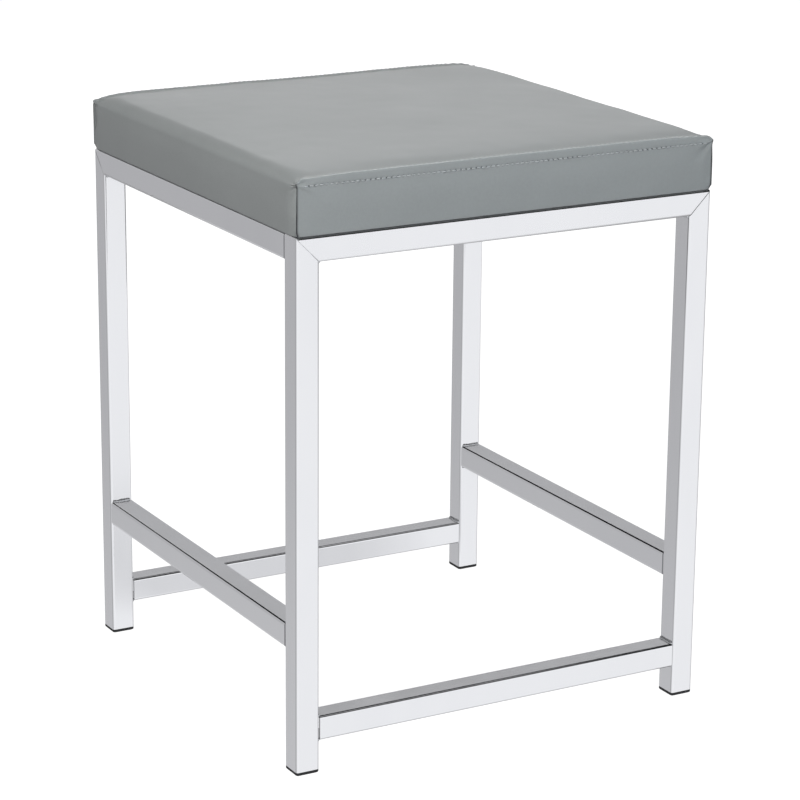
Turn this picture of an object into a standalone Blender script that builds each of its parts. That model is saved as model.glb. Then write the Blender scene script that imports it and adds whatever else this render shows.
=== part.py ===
"""Vanity stool: a square padded seat on a welded frame of chromed square tube.

Metres, +Z up, front at -Y. The origin is on the floor under the middle of the frame.
"""

import math

import bmesh
import bpy
import numpy as np

# Clearance between pieces that touch
GAP = 0.0003

# Frame of square tube
FRAME_WIDTH = 0.356
FRAME_DEPTH = 0.356
FRAME_HEIGHT = 0.412
TUBE_SIZE = 0.019
TUBE_WALL = 0.0012
TUBE_CORNER_RADIUS = 0.0018
BORE_CORNER_RADIUS = 0.0006
LOW_STRETCHER_TOP = 0.0445
SIDE_STRETCHER_TOP = 0.116

# Foot glides plugged into the legs
GLIDE_THICKNESS = 0.0022
GLIDE_CHAMFER = 0.0006
GLIDE_STEM_LENGTH = 0.012

# Corner plates that carry the seat, and the bolts through them
PLATE_THICKNESS = 0.003
PLATE_MARGIN = 0.013
PLATE_TIP = 0.008
BOLT_TO_HEM = 0.011
BOLT_DIAMETER = 0.006
BOLT_HEAD_ACROSS_FLATS = 0.010
BOLT_HEAD_HEIGHT = 0.004
BOLT_CHAMFER = 0.0006
WASHER_DIAMETER = 0.012
WASHER_THICKNESS = 0.0016
NUT_BARREL_DIAMETER = 0.0085
NUT_BARREL_LENGTH = 0.008
NUT_FLANGE_DIAMETER = 0.019
NUT_FLANGE_THICKNESS = 0.0015

# Padded seat: board, foam, cover and dust cover
SEAT_OVERHANG = 0.0005
SEAT_SIDE_HEIGHT = 0.0443
SEAT_CROWN = 0.0017
CROWN_POWER = 4
BOARD_THICKNESS = 0.012
COVER_THICKNESS = 0.0011
BOTTOM_RADIUS = 0.0045
SHOULDER_RUN = 0.011
SHOULDER_DROP = 0.006
SHOULDER_END_RUN = 0.018
SHOULDER_END_DROP = 0.0065
SHOULDER_POWER = 4
SIDE_PULL = 0.0012
END_PULL = 0.0012
HEM_LAP = 0.0085
SEAM_GAP = 0.0002
DUST_COVER_THICKNESS = 0.0005

# Smoothness of the round stretches
ROUND_SIDES = 24
CORNER_STEPS = 3
ARC_STEPS = 4
TOP_STEPS = 5
STATIONS = (0.35, 0.65, 0.85, 0.95, 1.0)
PANEL_ROWS = (1 / 3, 2 / 3, 1.0)
SHARP_ANGLE = math.radians(35)

# Places in plan that follow from the sizes above
LEG_X = (FRAME_WIDTH - TUBE_SIZE) / 2
LEG_Y = (FRAME_DEPTH - TUBE_SIZE) / 2
INNER_X = FRAME_WIDTH / 2 - TUBE_SIZE
INNER_Y = FRAME_DEPTH / 2 - TUBE_SIZE
SEAT_HALF_WIDTH = FRAME_WIDTH / 2 + SEAT_OVERHANG
SEAT_HALF_DEPTH = FRAME_DEPTH / 2 + SEAT_OVERHANG
BOLT_INSET = HEM_LAP + BOLT_TO_HEM
PLATE_SIDE = 2 * BOLT_INSET + PLATE_MARGIN
LINING = COVER_THICKNESS + GAP

# Heights that follow from the sizes above, from the floor up
LEG_START = GLIDE_THICKNESS + GAP
RAIL_Z = FRAME_HEIGHT - TUBE_SIZE / 2
DUST_COVER_TOP = FRAME_HEIGHT
DUST_COVER_BOTTOM = DUST_COVER_TOP - DUST_COVER_THICKNESS
PLATE_TOP = DUST_COVER_BOTTOM - GAP
PLATE_BOTTOM = PLATE_TOP - PLATE_THICKNESS
WASHER_TOP = PLATE_BOTTOM - GAP
BOLT_SEAT = WASHER_TOP - WASHER_THICKNESS - GAP
HEM_BOTTOM = FRAME_HEIGHT + GAP
BOARD_BOTTOM = HEM_BOTTOM + LINING
BOARD_TOP = BOARD_BOTTOM + BOARD_THICKNESS
FOAM_BOTTOM = BOARD_TOP + GAP
SEAM_Z = FRAME_HEIGHT + SEAT_SIDE_HEIGHT
NUT_TOP = BOARD_TOP - GAP
NUT_SHOULDER = NUT_TOP - NUT_FLANGE_THICKNESS
BOLT_END = NUT_TOP - GAP

# Side signs and turns of the corners, going round from the front left
CORNERS = {
    "front_left": (-1, -1, 0.0),
    "front_right": (1, -1, math.pi / 2),
    "back_right": (1, 1, math.pi),
    "back_left": (-1, 1, -math.pi / 2),
}


def clear_scene():
    for old in list(bpy.data.objects):
        bpy.data.objects.remove(old, do_unlink=True)


def finish(name, colour, roughness, metallic=0.0):
    """A material of one colour and gloss."""
    material = bpy.data.materials.new(name)
    material.use_nodes = True
    shader = material.node_tree.nodes["Principled BSDF"]
    shader.inputs["Base Color"].default_value = (*colour, 1.0)
    shader.inputs["Roughness"].default_value = roughness
    shader.inputs["Metallic"].default_value = metallic
    return material


def make_mesh(name, skin, material):
    """A mesh from (points, faces), with its faces turned out and its round stretches smooth."""
    mesh = bpy.data.meshes.new(name)
    mesh.from_pydata(*skin_lists(skin))
    solid = bmesh.new()
    solid.from_mesh(mesh)
    bmesh.ops.recalc_face_normals(solid, faces=solid.faces[:])
    solid.to_mesh(mesh)
    solid.free()
    mesh.shade_smooth()
    mesh.set_sharp_from_angle(angle=SHARP_ANGLE)
    mesh.materials.append(material)
    return mesh


def skin_lists(skin):
    """The points, no loose edges, and the faces, as plain lists."""
    points, faces = skin
    return [tuple(map(float, point)) for point in points], [], [tuple(face) for face in faces]


def place(name, mesh, parent, location=(0.0, 0.0, 0.0), rotation=(0.0, 0.0, 0.0)):
    """A new piece that shows this mesh, under its assembly's empty."""
    piece = bpy.data.objects.new(name, mesh)
    piece.location = location
    piece.rotation_euler = rotation
    piece.parent = parent
    bpy.context.scene.collection.objects.link(piece)
    return piece


def cut_away(piece, cutters):
    for cutter in cutters:
        cut = piece.modifiers.new(cutter.name, "BOOLEAN")
        cut.operation = "DIFFERENCE"
        cut.solver = "EXACT"
        cut.object = cutter


def loft(rings, closed=False):
    """A skin over rings of equal length: capped at both ends, or joined end to end like a sleeve."""
    sides = len(rings[0])
    points = [point for ring in rings for point in ring]
    faces = []
    for ring in range(len(rings) if closed else len(rings) - 1):
        low = ring * sides
        high = (ring + 1) % len(rings) * sides
        for side in range(sides):
            after = (side + 1) % sides
            faces.append((low + side, low + after, high + after, high + side))
    if not closed:
        faces.append(range(sides))
        faces.append(range(len(points) - sides, len(points)))
    return points, faces


def split(points, quad):
    """Two triangles of a quad, split along the diagonal that lies further out."""
    a, b, c, d = quad
    one_way = np.abs(points[a] + points[c]).sum()
    other_way = np.abs(points[b] + points[d]).sum()
    return [(a, b, c), (a, c, d)] if one_way >= other_way else [(a, b, d), (b, c, d)]


def sheet(outer, inner):
    """The closed skin of a sheet, from equal grids of points on its two faces."""
    rows, columns = outer.shape[:2]
    points = np.concatenate([outer.reshape(-1, 3), inner.reshape(-1, 3)])
    index = np.arange(2 * rows * columns).reshape(2, rows, columns)
    borders = [index[:, 0], index[:, -1], index[:, :, 0], index[:, :, -1]]
    faces = []
    for grid in [*index, *borders]:
        for near, far in zip(grid, grid[1:]):
            for side in range(len(near) - 1):
                faces += split(points, (near[side], near[side + 1], far[side + 1], far[side]))
    return points, faces


def square_ring(size, radius, z=0.0):
    """A level square with rounded corners."""
    reach = size / 2 - radius
    ring = []
    for corner in range(4):
        middle = (corner + 0.5) * math.pi / 2
        centre_x = math.copysign(reach, math.cos(middle))
        centre_y = math.copysign(reach, math.sin(middle))
        for step in range(CORNER_STEPS + 1):
            angle = (corner + step / CORNER_STEPS) * math.pi / 2
            ring.append((centre_x + radius * math.cos(angle), centre_y + radius * math.sin(angle), z))
    return ring


def round_ring(radius, z):
    turns = [math.tau * side / ROUND_SIDES for side in range(ROUND_SIDES)]
    return [(radius * math.cos(turn), radius * math.sin(turn), z) for turn in turns]


def hex_ring(across_flats, z):
    """A hexagon with as many points as a round ring."""
    ring = []
    for side in range(ROUND_SIDES):
        turn = math.tau * side / ROUND_SIDES
        from_flat = (turn + math.pi / 6) % (math.pi / 3) - math.pi / 6
        radius = across_flats / 2 / math.cos(from_flat)
        ring.append((radius * math.cos(turn), radius * math.sin(turn), z))
    return ring


def box_ring(half_x, half_y, z):
    return [(-half_x, -half_y, z), (half_x, -half_y, z), (half_x, half_y, z), (-half_x, half_y, z)]


def tube_skin(length, start_slope=0.0, end_slope=0.0):
    """An open square tube along Z. A slope of 1 or -1 mitres that end across the tube's X."""
    outer = square_ring(TUBE_SIZE, TUBE_CORNER_RADIUS)
    bore = square_ring(TUBE_SIZE - 2 * TUBE_WALL, BORE_CORNER_RADIUS)
    ends = [(outer, 0.0, start_slope), (outer, length, end_slope)]
    ends += [(bore, length, end_slope), (bore, 0.0, start_slope)]
    rings = [[(x, y, height + slope * x) for x, y, _ in ring] for ring, height, slope in ends]
    return loft(rings, closed=True)


def build_legs(frame, chrome):
    """The front legs are mitred to the front rail, and the back legs to the side rails."""
    setback = GAP / math.sqrt(2)
    length = RAIL_Z - setback - LEG_START
    for corner, (side_x, side_y, _) in CORNERS.items():
        front = side_y < 0
        name = f"{corner}_leg"
        mesh = make_mesh(name, tube_skin(length, end_slope=side_x if front else 1.0), chrome)
        turn = 0.0 if front else math.pi / 2
        place(name, mesh, frame, (side_x * LEG_X, side_y * LEG_Y, LEG_START), (0.0, 0.0, turn))


def build_bars(frame, chrome):
    """The top rails and the stretchers, flush with the legs' outer faces."""
    setback = GAP / math.sqrt(2)
    along_x = (0.0, math.pi / 2, 0.0)
    along_y = (0.0, math.pi / 2, math.pi / 2)
    clear_x = INNER_X - GAP
    clear_y = INNER_Y - GAP
    mitred = tube_skin(2 * (LEG_X - setback), start_slope=1.0, end_slope=-1.0)
    half_mitred = tube_skin(clear_y + LEG_Y - setback, end_slope=-1.0)
    across = tube_skin(2 * clear_x)
    through = tube_skin(2 * clear_y)
    low_z = LOW_STRETCHER_TOP - TUBE_SIZE / 2
    side_z = SIDE_STRETCHER_TOP - TUBE_SIZE / 2
    bars = {
        "front_top_rail": (mitred, along_x, (setback - LEG_X, -LEG_Y, RAIL_Z)),
        "back_top_rail": (across, along_x, (-clear_x, LEG_Y, RAIL_Z)),
        "left_top_rail": (half_mitred, along_y, (-LEG_X, -clear_y, RAIL_Z)),
        "right_top_rail": (half_mitred, along_y, (LEG_X, -clear_y, RAIL_Z)),
        "front_stretcher": (across, along_x, (-clear_x, -LEG_Y, low_z)),
        "back_stretcher": (across, along_x, (-clear_x, LEG_Y, low_z)),
        "left_stretcher": (through, along_y, (-LEG_X, -clear_y, side_z)),
        "right_stretcher": (through, along_y, (LEG_X, -clear_y, side_z)),
    }
    for name, (skin, rotation, location) in bars.items():
        place(name, make_mesh(name, skin, chrome), frame, location, rotation)


def build_glides(frame, black_plastic):
    """Flat plastic feet, each with a stem up the leg's bore."""
    stem = TUBE_SIZE - 2 * TUBE_WALL - 2 * GAP
    stem_top = GLIDE_THICKNESS + GLIDE_STEM_LENGTH
    steps = [
        (TUBE_SIZE - 2 * GLIDE_CHAMFER, TUBE_CORNER_RADIUS, 0.0),
        (TUBE_SIZE, TUBE_CORNER_RADIUS, GLIDE_CHAMFER),
        (TUBE_SIZE, TUBE_CORNER_RADIUS, GLIDE_THICKNESS),
        (stem, BORE_CORNER_RADIUS, GLIDE_THICKNESS),
        (stem, BORE_CORNER_RADIUS, stem_top - GLIDE_CHAMFER),
        (stem - 2 * GLIDE_CHAMFER, BORE_CORNER_RADIUS, stem_top),
    ]
    mesh = make_mesh("foot_glide", loft([square_ring(*step) for step in steps]), black_plastic)
    for corner, (side_x, side_y, _) in CORNERS.items():
        place(f"{corner}_glide", mesh, frame, (side_x * LEG_X, side_y * LEG_Y, 0.0))


def bolt_place(corner):
    side_x, side_y, _ = CORNERS[corner]
    return side_x * (INNER_X - BOLT_INSET), side_y * (INNER_Y - BOLT_INSET), 0.0


def make_cutters(seat, steel):
    """Stepped holes for the bolts and T-nuts, through the plates, the dust cover and the board."""
    plate_hole = BOLT_DIAMETER / 2 + GAP
    barrel_hole = NUT_BARREL_DIAMETER / 2 + GAP
    flange_hole = NUT_FLANGE_DIAMETER / 2 + GAP
    below = PLATE_BOTTOM - WASHER_THICKNESS
    step_up = (PLATE_TOP + DUST_COVER_BOTTOM) / 2
    floor = NUT_SHOULDER - GAP
    above = BOARD_TOP + NUT_FLANGE_THICKNESS
    rings = [round_ring(plate_hole, below), round_ring(plate_hole, step_up)]
    rings += [round_ring(barrel_hole, step_up), round_ring(barrel_hole, floor)]
    rings += [round_ring(flange_hole, floor), round_ring(flange_hole, above)]
    mesh = make_mesh("bolt_hole", loft(rings), steel)
    cutters = {}
    for corner in CORNERS:
        cutter = place(f"{corner}_bolt_hole", mesh, seat, bolt_place(corner))
        cutter.hide_render = True
        cutter.display_type = "WIRE"
        cutters[corner] = cutter
    return cutters


def build_plates(frame, chrome, cutters):
    """Three-cornered plates with blunt tips, welded inside the corners of the rails."""
    outline = [(GAP, GAP), (PLATE_SIDE, GAP), (PLATE_SIDE, PLATE_TIP)]
    outline += [(PLATE_TIP, PLATE_SIDE), (GAP, PLATE_SIDE)]
    rings = [[(x, y, z) for x, y in outline] for z in (PLATE_BOTTOM, PLATE_TOP)]
    mesh = make_mesh("corner_plate", loft(rings), chrome)
    for corner, (side_x, side_y, turn) in CORNERS.items():
        location = (side_x * INNER_X, side_y * INNER_Y, 0.0)
        plate = place(f"{corner}_corner_plate", mesh, frame, location, (0.0, 0.0, turn))
        cut_away(plate, [cutters[corner]])


def bolt_skin():
    shank = BOLT_DIAMETER / 2
    head_bottom = BOLT_SEAT - BOLT_HEAD_HEIGHT
    rings = [
        hex_ring(BOLT_HEAD_ACROSS_FLATS - 2 * BOLT_CHAMFER, head_bottom),
        hex_ring(BOLT_HEAD_ACROSS_FLATS, head_bottom + BOLT_CHAMFER),
        hex_ring(BOLT_HEAD_ACROSS_FLATS, BOLT_SEAT),
        round_ring(shank, BOLT_SEAT),
        round_ring(shank, BOLT_END - BOLT_CHAMFER),
        round_ring(shank - BOLT_CHAMFER, BOLT_END),
    ]
    return loft(rings)


def washer_skin():
    bore = BOLT_DIAMETER / 2 + GAP
    rim = WASHER_DIAMETER / 2
    low = WASHER_TOP - WASHER_THICKNESS
    turned = [(bore, low), (rim, low), (rim, WASHER_TOP), (bore, WASHER_TOP)]
    return loft([round_ring(radius, z) for radius, z in turned], closed=True)


def nut_skin():
    """A T-nut: a threaded barrel under a wide flange."""
    bore = BOLT_DIAMETER / 2 + GAP
    barrel = NUT_BARREL_DIAMETER / 2
    flange = NUT_FLANGE_DIAMETER / 2
    low = NUT_SHOULDER - NUT_BARREL_LENGTH
    turned = [
        (bore, low),
        (barrel, low),
        (barrel, NUT_SHOULDER),
        (flange, NUT_SHOULDER),
        (flange, NUT_TOP),
        (bore, NUT_TOP),
    ]
    return loft([round_ring(radius, z) for radius, z in turned], closed=True)


def build_fasteners(seat, steel):
    skins = {"seat_bolt": bolt_skin(), "washer": washer_skin(), "t_nut": nut_skin()}
    for kind, skin in skins.items():
        mesh = make_mesh(kind, skin, steel)
        for corner in CORNERS:
            place(f"{corner}_{kind}", mesh, seat, bolt_place(corner))


def build_board(seat, plywood, cutters):
    """The plywood base, with its lower and upright edges rounded inside the cover."""
    radius = BOTTOM_RADIUS - LINING
    half_x = SEAT_HALF_WIDTH - LINING
    half_y = SEAT_HALF_DEPTH - LINING
    rings = [box_ring(half_x, half_y, BOARD_BOTTOM), box_ring(half_x, half_y, BOARD_TOP)]
    mesh = make_mesh("seat_board", loft(rings), plywood)
    solid = bmesh.new()
    solid.from_mesh(mesh)
    middle = (BOARD_BOTTOM + BOARD_TOP) / 2
    rounded = [edge for edge in solid.edges if min(corner.co.z for corner in edge.verts) < middle]
    bmesh.ops.bevel(solid, geom=rounded, offset=radius, segments=ARC_STEPS, affect="EDGES", profile=0.5)
    solid.to_mesh(mesh)
    solid.free()
    board = place("seat_board", mesh, seat)
    cut_away(board, cutters.values())


def lean(z):
    """How far up the drawn-in part of a side a height is, from 0 at the board to 1 at the top seam."""
    return np.clip((z - FOAM_BOTTOM) / (SEAM_Z - FOAM_BOTTOM), 0.0, 1.0)


def end_reach(x, z, inset):
    """The distance of the seat's front or back from its middle, drawn in between the corners."""
    return SEAT_HALF_DEPTH - inset - END_PULL * (1 - (x / SEAT_HALF_WIDTH) ** 2) * lean(z)


def crown(x, station):
    """The rise of the top above the seams, for a station from -1 at the front to 1 at the back."""
    across = 1 - abs(x / SEAT_HALF_WIDTH) ** CROWN_POWER
    return SEAT_CROWN * across * (1 - abs(station) ** CROWN_POWER)


def upper_half(station, inset):
    """The seat's section from its oval shoulder to the middle of the top, as (x, z, inset)."""
    near_end = abs(station) ** SHOULDER_POWER
    run = SHOULDER_RUN + (SHOULDER_END_RUN - SHOULDER_RUN) * near_end
    drop = SHOULDER_DROP + (SHOULDER_END_DROP - SHOULDER_DROP) * near_end
    centre_x = SEAT_HALF_WIDTH - SIDE_PULL * (1 - station**2) - run
    flat = []
    for step in range(ARC_STEPS + 1):
        angle = math.pi / 2 * step / ARC_STEPS
        out_x = drop * math.cos(angle)
        out_z = run * math.sin(angle)
        scale = inset / math.hypot(out_x, out_z)
        x = centre_x + run * math.cos(angle) - scale * out_x
        z = SEAM_Z - drop + drop * math.sin(angle) - scale * out_z
        flat.append((x, z))
    for step in range(1, TOP_STEPS + 1):
        flat.append((centre_x * (1 - step / TOP_STEPS), SEAM_Z - inset))
    return [(x, z + crown(x, station), inset) for x, z in flat]


def lower_half(half, hem_end, inset):
    """The cover's section from the hem's end, round under the board and up beside it.

    Each point is (distance from the middle, z, setback of the mitred edge).
    """
    radius = BOTTOM_RADIUS - inset
    points = [(hem_end, HEM_BOTTOM + inset, half - hem_end)]
    for step in range(ARC_STEPS + 1):
        angle = math.pi / 2 * (step / ARC_STEPS - 1)
        across = half - BOTTOM_RADIUS + radius * math.cos(angle)
        points.append((across, HEM_BOTTOM + BOTTOM_RADIUS + radius * math.sin(angle), half - across))
    points.append((half - inset, FOAM_BOTTOM, inset))
    return points


def mirrored(half):
    """A whole section from its right half, going from the left side to the right one."""
    left = [(-x, *rest) for x, *rest in half]
    return left + half[-2::-1]


def all_stations():
    return [-station for station in reversed(STATIONS)] + [0.0, *STATIONS]


def build_foam(seat, foam_pad):
    """The foam block: flat on the board, crowned on top and drawn in at the sides."""
    top = []
    for station in all_stations():
        section = mirrored(upper_half(station, LINING))
        top.append([(x, station * end_reach(x, z, inset), z) for x, z, inset in section])
    top = np.array(top)
    base = top.copy()
    base[:, :, 0] *= (SEAT_HALF_WIDTH - LINING) / abs(top[:, :1, 0])
    base[:, :, 1] *= (SEAT_HALF_DEPTH - LINING) / abs(top[:1, :, 1])
    base[:, :, 2] = FOAM_BOTTOM
    place("seat_foam", make_mesh("seat_foam", sheet(top, base), foam_pad), seat)


def main_panel_face(inset):
    """One face of the panel that covers the top and both sides, with its hems under the board."""
    lower = lower_half(SEAT_HALF_WIDTH, INNER_X - HEM_LAP, inset)
    face = []
    for station in all_stations():
        section = mirrored(lower + upper_half(station, inset))
        face.append([(x, station * end_reach(x, z, SEAM_GAP + setback), z) for x, z, setback in section])
    return np.array(face)


def end_outline(inset):
    """The sewn edge of an end panel, as (x, z) from its left side over the top to its right one."""
    return mirrored([(x, z) for x, z, _ in upper_half(1.0, SEAM_GAP + inset)])


def end_panel_face(inset):
    """One face of the panel sewn across the front, with its hem under the board."""
    outline = end_outline(inset)
    right_x = outline[-1][0]
    face = []
    for across, z, setback in lower_half(SEAT_HALF_DEPTH, INNER_Y - HEM_LAP, inset):
        narrowed = (SEAT_HALF_WIDTH - SEAM_GAP - setback) / right_x
        face.append([(x * narrowed, -across, z) for x, _ in outline])
    for share in PANEL_ROWS:
        row = [(x, FOAM_BOTTOM + share * (top - FOAM_BOTTOM)) for x, top in outline]
        face.append([(x, -end_reach(x, z, inset), z) for x, z in row])
    return np.array(face)


def build_cover(seat, vinyl):
    main = sheet(main_panel_face(0.0), main_panel_face(COVER_THICKNESS))
    place("seat_cover_main_panel", make_mesh("seat_cover_main_panel", main, vinyl), seat)
    end = sheet(end_panel_face(0.0), end_panel_face(COVER_THICKNESS))
    mesh = make_mesh("seat_cover_end_panel", end, vinyl)
    place("seat_cover_front_panel", mesh, seat)
    place("seat_cover_back_panel", mesh, seat, rotation=(0.0, 0.0, math.pi))


def build_dust_cover(seat, black_cloth, cutters):
    half_x = INNER_X - GAP
    half_y = INNER_Y - GAP
    rings = [box_ring(half_x, half_y, z) for z in (DUST_COVER_BOTTOM, DUST_COVER_TOP)]
    cover = place("dust_cover", make_mesh("dust_cover", loft(rings), black_cloth), seat)
    cut_away(cover, cutters.values())


def main():
    clear_scene()
    chrome = finish("chrome_plate", (0.80, 0.81, 0.83), 0.08, 1.0)
    black_plastic = finish("black_plastic", (0.02, 0.02, 0.02), 0.5)
    steel = finish("zinc_plated_steel", (0.62, 0.63, 0.65), 0.35, 1.0)
    plywood = finish("plywood", (0.55, 0.38, 0.22), 0.7)
    foam_pad = finish("seat_foam", (0.85, 0.80, 0.62), 0.95)
    vinyl = finish("grey_vinyl", (0.36, 0.38, 0.375), 0.45)
    black_cloth = finish("black_dust_cloth", (0.015, 0.015, 0.015), 0.9)
    stool = place("vanity_stool", None, None)
    frame = place("frame", None, stool)
    seat = place("seat", None, stool)
    cutters = make_cutters(seat, steel)
    build_legs(frame, chrome)
    build_bars(frame, chrome)
    build_glides(frame, black_plastic)
    build_plates(frame, chrome, cutters)
    build_fasteners(seat, steel)
    build_board(seat, plywood, cutters)
    build_foam(seat, foam_pad)
    build_cover(seat, vinyl)
    build_dust_cover(seat, black_cloth, cutters)


main()
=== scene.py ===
"""Dresses the vanity stool: polished tube frame, padded vinyl seat, dust cover, studio and camera.

Metres, +Z up, front at -Y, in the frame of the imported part.
"""

import math

import bmesh
import bpy
import numpy as np
from mathutils import Matrix, Vector, noise
from mathutils.kdtree import KDTree


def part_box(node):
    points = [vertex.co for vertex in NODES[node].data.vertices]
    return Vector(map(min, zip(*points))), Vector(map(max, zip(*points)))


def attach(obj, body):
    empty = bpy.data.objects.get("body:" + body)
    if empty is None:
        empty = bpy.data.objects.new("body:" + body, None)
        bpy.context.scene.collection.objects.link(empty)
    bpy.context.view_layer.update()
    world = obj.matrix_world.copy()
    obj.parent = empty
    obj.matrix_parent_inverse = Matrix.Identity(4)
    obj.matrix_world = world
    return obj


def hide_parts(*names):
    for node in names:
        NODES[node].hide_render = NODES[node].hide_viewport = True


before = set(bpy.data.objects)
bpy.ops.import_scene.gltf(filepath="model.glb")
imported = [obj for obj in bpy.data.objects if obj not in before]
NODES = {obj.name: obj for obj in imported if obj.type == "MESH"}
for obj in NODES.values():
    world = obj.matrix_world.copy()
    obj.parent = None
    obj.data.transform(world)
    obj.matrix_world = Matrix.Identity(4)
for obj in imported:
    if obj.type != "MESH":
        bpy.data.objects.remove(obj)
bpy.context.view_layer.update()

CORNERS = [(-1, -1), (-1, 1), (1, -1), (1, 1)]

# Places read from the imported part
SEAT_LOW, SEAT_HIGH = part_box("seat_cover_main_panel")
DUST_LOW, DUST_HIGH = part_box("dust_cover")
LEG_LOW, LEG_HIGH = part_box("front_left_leg")
PLATE_LOW, PLATE_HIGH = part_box("front_left_corner_plate")
BOLT_LOW, BOLT_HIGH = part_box("front_left_seat_bolt")
FRONT_PANEL_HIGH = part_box("seat_cover_front_panel")[1]
HALF_WIDTH = SEAT_HIGH.x
HALF_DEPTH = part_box("seat_cover_back_panel")[1].y
INNER_X = -LEG_HIGH.x
INNER_Y = -LEG_HIGH.y
TUBE = LEG_HIGH.x - LEG_LOW.x
RAIL_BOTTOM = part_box("front_top_rail")[0].z
PLATE_SIDE = PLATE_HIGH.x - PLATE_LOW.x
BOLT_PLACE = (BOLT_LOW + BOLT_HIGH) / 2
HEM_BOTTOM = SEAT_LOW.z
HEM_END = -FRONT_PANEL_HIGH.y
FOAM_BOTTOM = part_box("seat_foam")[0].z
SEAM_Z = FRONT_PANEL_HIGH.z

# Form of the seat: crown, sides drawn in between the corners, and the cover's turn under the board
SEAT_CROWN = 0.0010
CROWN_POWER = 4
SIDE_PULL = 0.0008
END_PULL = 0.0010
COVER = 0.0011
BOTTOM_RADIUS = 0.0010
INNER_RADIUS = 0.0034
HEM_ROUNDING = 0.0004
UNDER_MARKS = (0.030, 0.090, 0.150)
WALL_STEPS = 17
WALL_POWER = 1.5
TURN_STEPS = 6

# Shoulders along the left and right: width and drop in the middle, at the ends and at the corners' tips
SHOULDER_RUN = 0.0125
SHOULDER_DROP = 0.0095
SHOULDER_END_RUN = 0.030
SHOULDER_ARC = 0.0205
SHOULDER_START = 0.077
FRONT_END_DROP = 0.0034
BACK_END_DROP = 0.0060
END_POWER = 10
FRONT_TIP_DROP = 0.0022
TIP_RUN = 0.006
TIP_POWER = 20

# Sewn edge along the front and back: (out from the panel, down from the edge) for each line of the mesh
SEWN_EDGE = [
    (-0.0026, 0.00045), (-0.0022, 0.00018), (-0.0018, -0.00002), (-0.0014, -0.00010),
    (-0.0010, -0.00004), (-0.0006, 0.00018), (-0.00025, 0.00055), (0.0, 0.0011),
    (0.00014, 0.0019), (0.00020, 0.0029), (0.00024, 0.0042), (0.00022, 0.0055),
    (0.00014, 0.0063), (0.00002, 0.0070), (0.00006, 0.0076), (0.00010, 0.0084),
    (0.00010, 0.0092), (0.00008, 0.0102),
]
STITCH_LINE = 13
EDGE_BACK = -SEWN_EDGE[0][0]
STITCH_DROP = SEWN_EDGE[STITCH_LINE][1]
EDGE_EASE = 0.0006
DIP_BEHIND = 0.005
DIP_DEPTH = 0.0013
ROUND_LINES = 9
ROUND_DROP = 0.0030
ROUND_SHARE = 0.9
ROUND_REACH = 0.020

# Plain edge along the left and right, and the swell of the panels between the corners
PLAIN_EDGE = 0.010
PLAIN_REACH = 0.022
END_SWELL = 0.0005
SIDE_SWELL = 0.0011
SWELL_REACH = 0.012

# Corner seams: the slit between the panels, its welt and tuck, and (depth, width) of the rounding beside it
SEAM_DEPTH = 0.0024
SEAM_WIDTH = 0.0009
SEAM_START_LINES = 3
SEAM_BY_BOARD = 0.3
SEAM_FADE = 0.005
WELT_RISE = 0.0006
WELT_WIDTH = 0.0009
CORNER_TUCK = 0.0016
TUCK_HEIGHT = 0.0045
TUCK_WIDTH = 0.004
FRONT_ROUNDING = (0.0003, 0.0030)
SIDE_ROUNDING = (0.0036, 0.0120)

# Painted shade in the corner seams, on the flanks of the slit and beyond its rim, and round the hem
SEAM_SHADE = 0.45
SEAM_FLANK = 0.0008
SEAM_RIM = 0.0015
SEAM_RIM_FADE = 0.0009
SEAM_SIDE_FADE = 0.00075
HEM_SHADE = 0.9

# Knots at the tops of the corner seams, as (side x, side y, turn), with short folds, long creases and ears
KNOTS = [(-1, -1, 0.0), (1, -1, 0.15), (1, 1, 2.0), (-1, 1, 3.0)]
FRONT_KNOT_DROP = 0.0052
BACK_KNOT_DROP = 0.0064
KNOT_LEAN = 0.7
KNOT_REACH = 0.045
FOLD_COUNT = 6
FOLD_TURN = 1.3
FOLD_REACH = 0.0040
FOLD_HEIGHT = 0.00062
CREASE_COUNT = 4
CREASE_TURN = 2.1
CREASE_START = 0.7
CREASE_REACH = 0.010
CREASE_HEIGHT = 0.00026
FRONT_EAR = 0.0002
BACK_EAR = -0.0002
EAR_WIDTH = 0.0026
EAR_MARGIN = 0.0003
EAR_REACH = 0.010
EAR_PRESS = 0.8

# Unevenness of the stuffing, as (height, waves per metre, seed), and pulls along the hem
UNEVEN = [(0.00045, 19.0, 3.0), (0.00022, 55.0, 8.0)]
CALM_HEIGHT = 0.012
PULL_HEIGHT = 0.00005
PULL_SPACING = 0.031


def smooth_step(t):
    t = np.clip(t, 0.0, 1.0)
    return t * t * (3 - 2 * t)


def bell(t):
    return np.exp(-t * t)


# Meshes and pieces

TUBE_MERGE = 1e-6
SHAPE_MERGE = 1e-7
SHARP_TURN = math.radians(40)


def make_mesh(name, points, faces, edges=()):
    mesh = bpy.data.meshes.new(name)
    spots = [tuple(map(float, point)) for point in points]
    mesh.from_pydata(spots, list(edges), [tuple(map(int, face)) for face in faces])
    mesh.update()
    return mesh


def turn_out(mesh):
    """Merges doubles and turns the faces of a closed mesh outwards."""
    solid = bmesh.new()
    solid.from_mesh(mesh)
    bmesh.ops.remove_doubles(solid, verts=solid.verts[:], dist=SHAPE_MERGE)
    bmesh.ops.recalc_face_normals(solid, faces=solid.faces[:])
    solid.to_mesh(mesh)
    solid.free()


def add_object(name, data):
    made = bpy.data.objects.new(name, data)
    bpy.context.scene.collection.objects.link(made)
    return made


def add_piece(name, mesh, material, stands_for=()):
    """A finished piece that rides with the stool, in the given material."""
    mesh.materials.clear()
    mesh.materials.append(material)
    piece = add_object(name, mesh)
    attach(piece, "root")
    if stands_for:
        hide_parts(*stands_for)
    return piece


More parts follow.
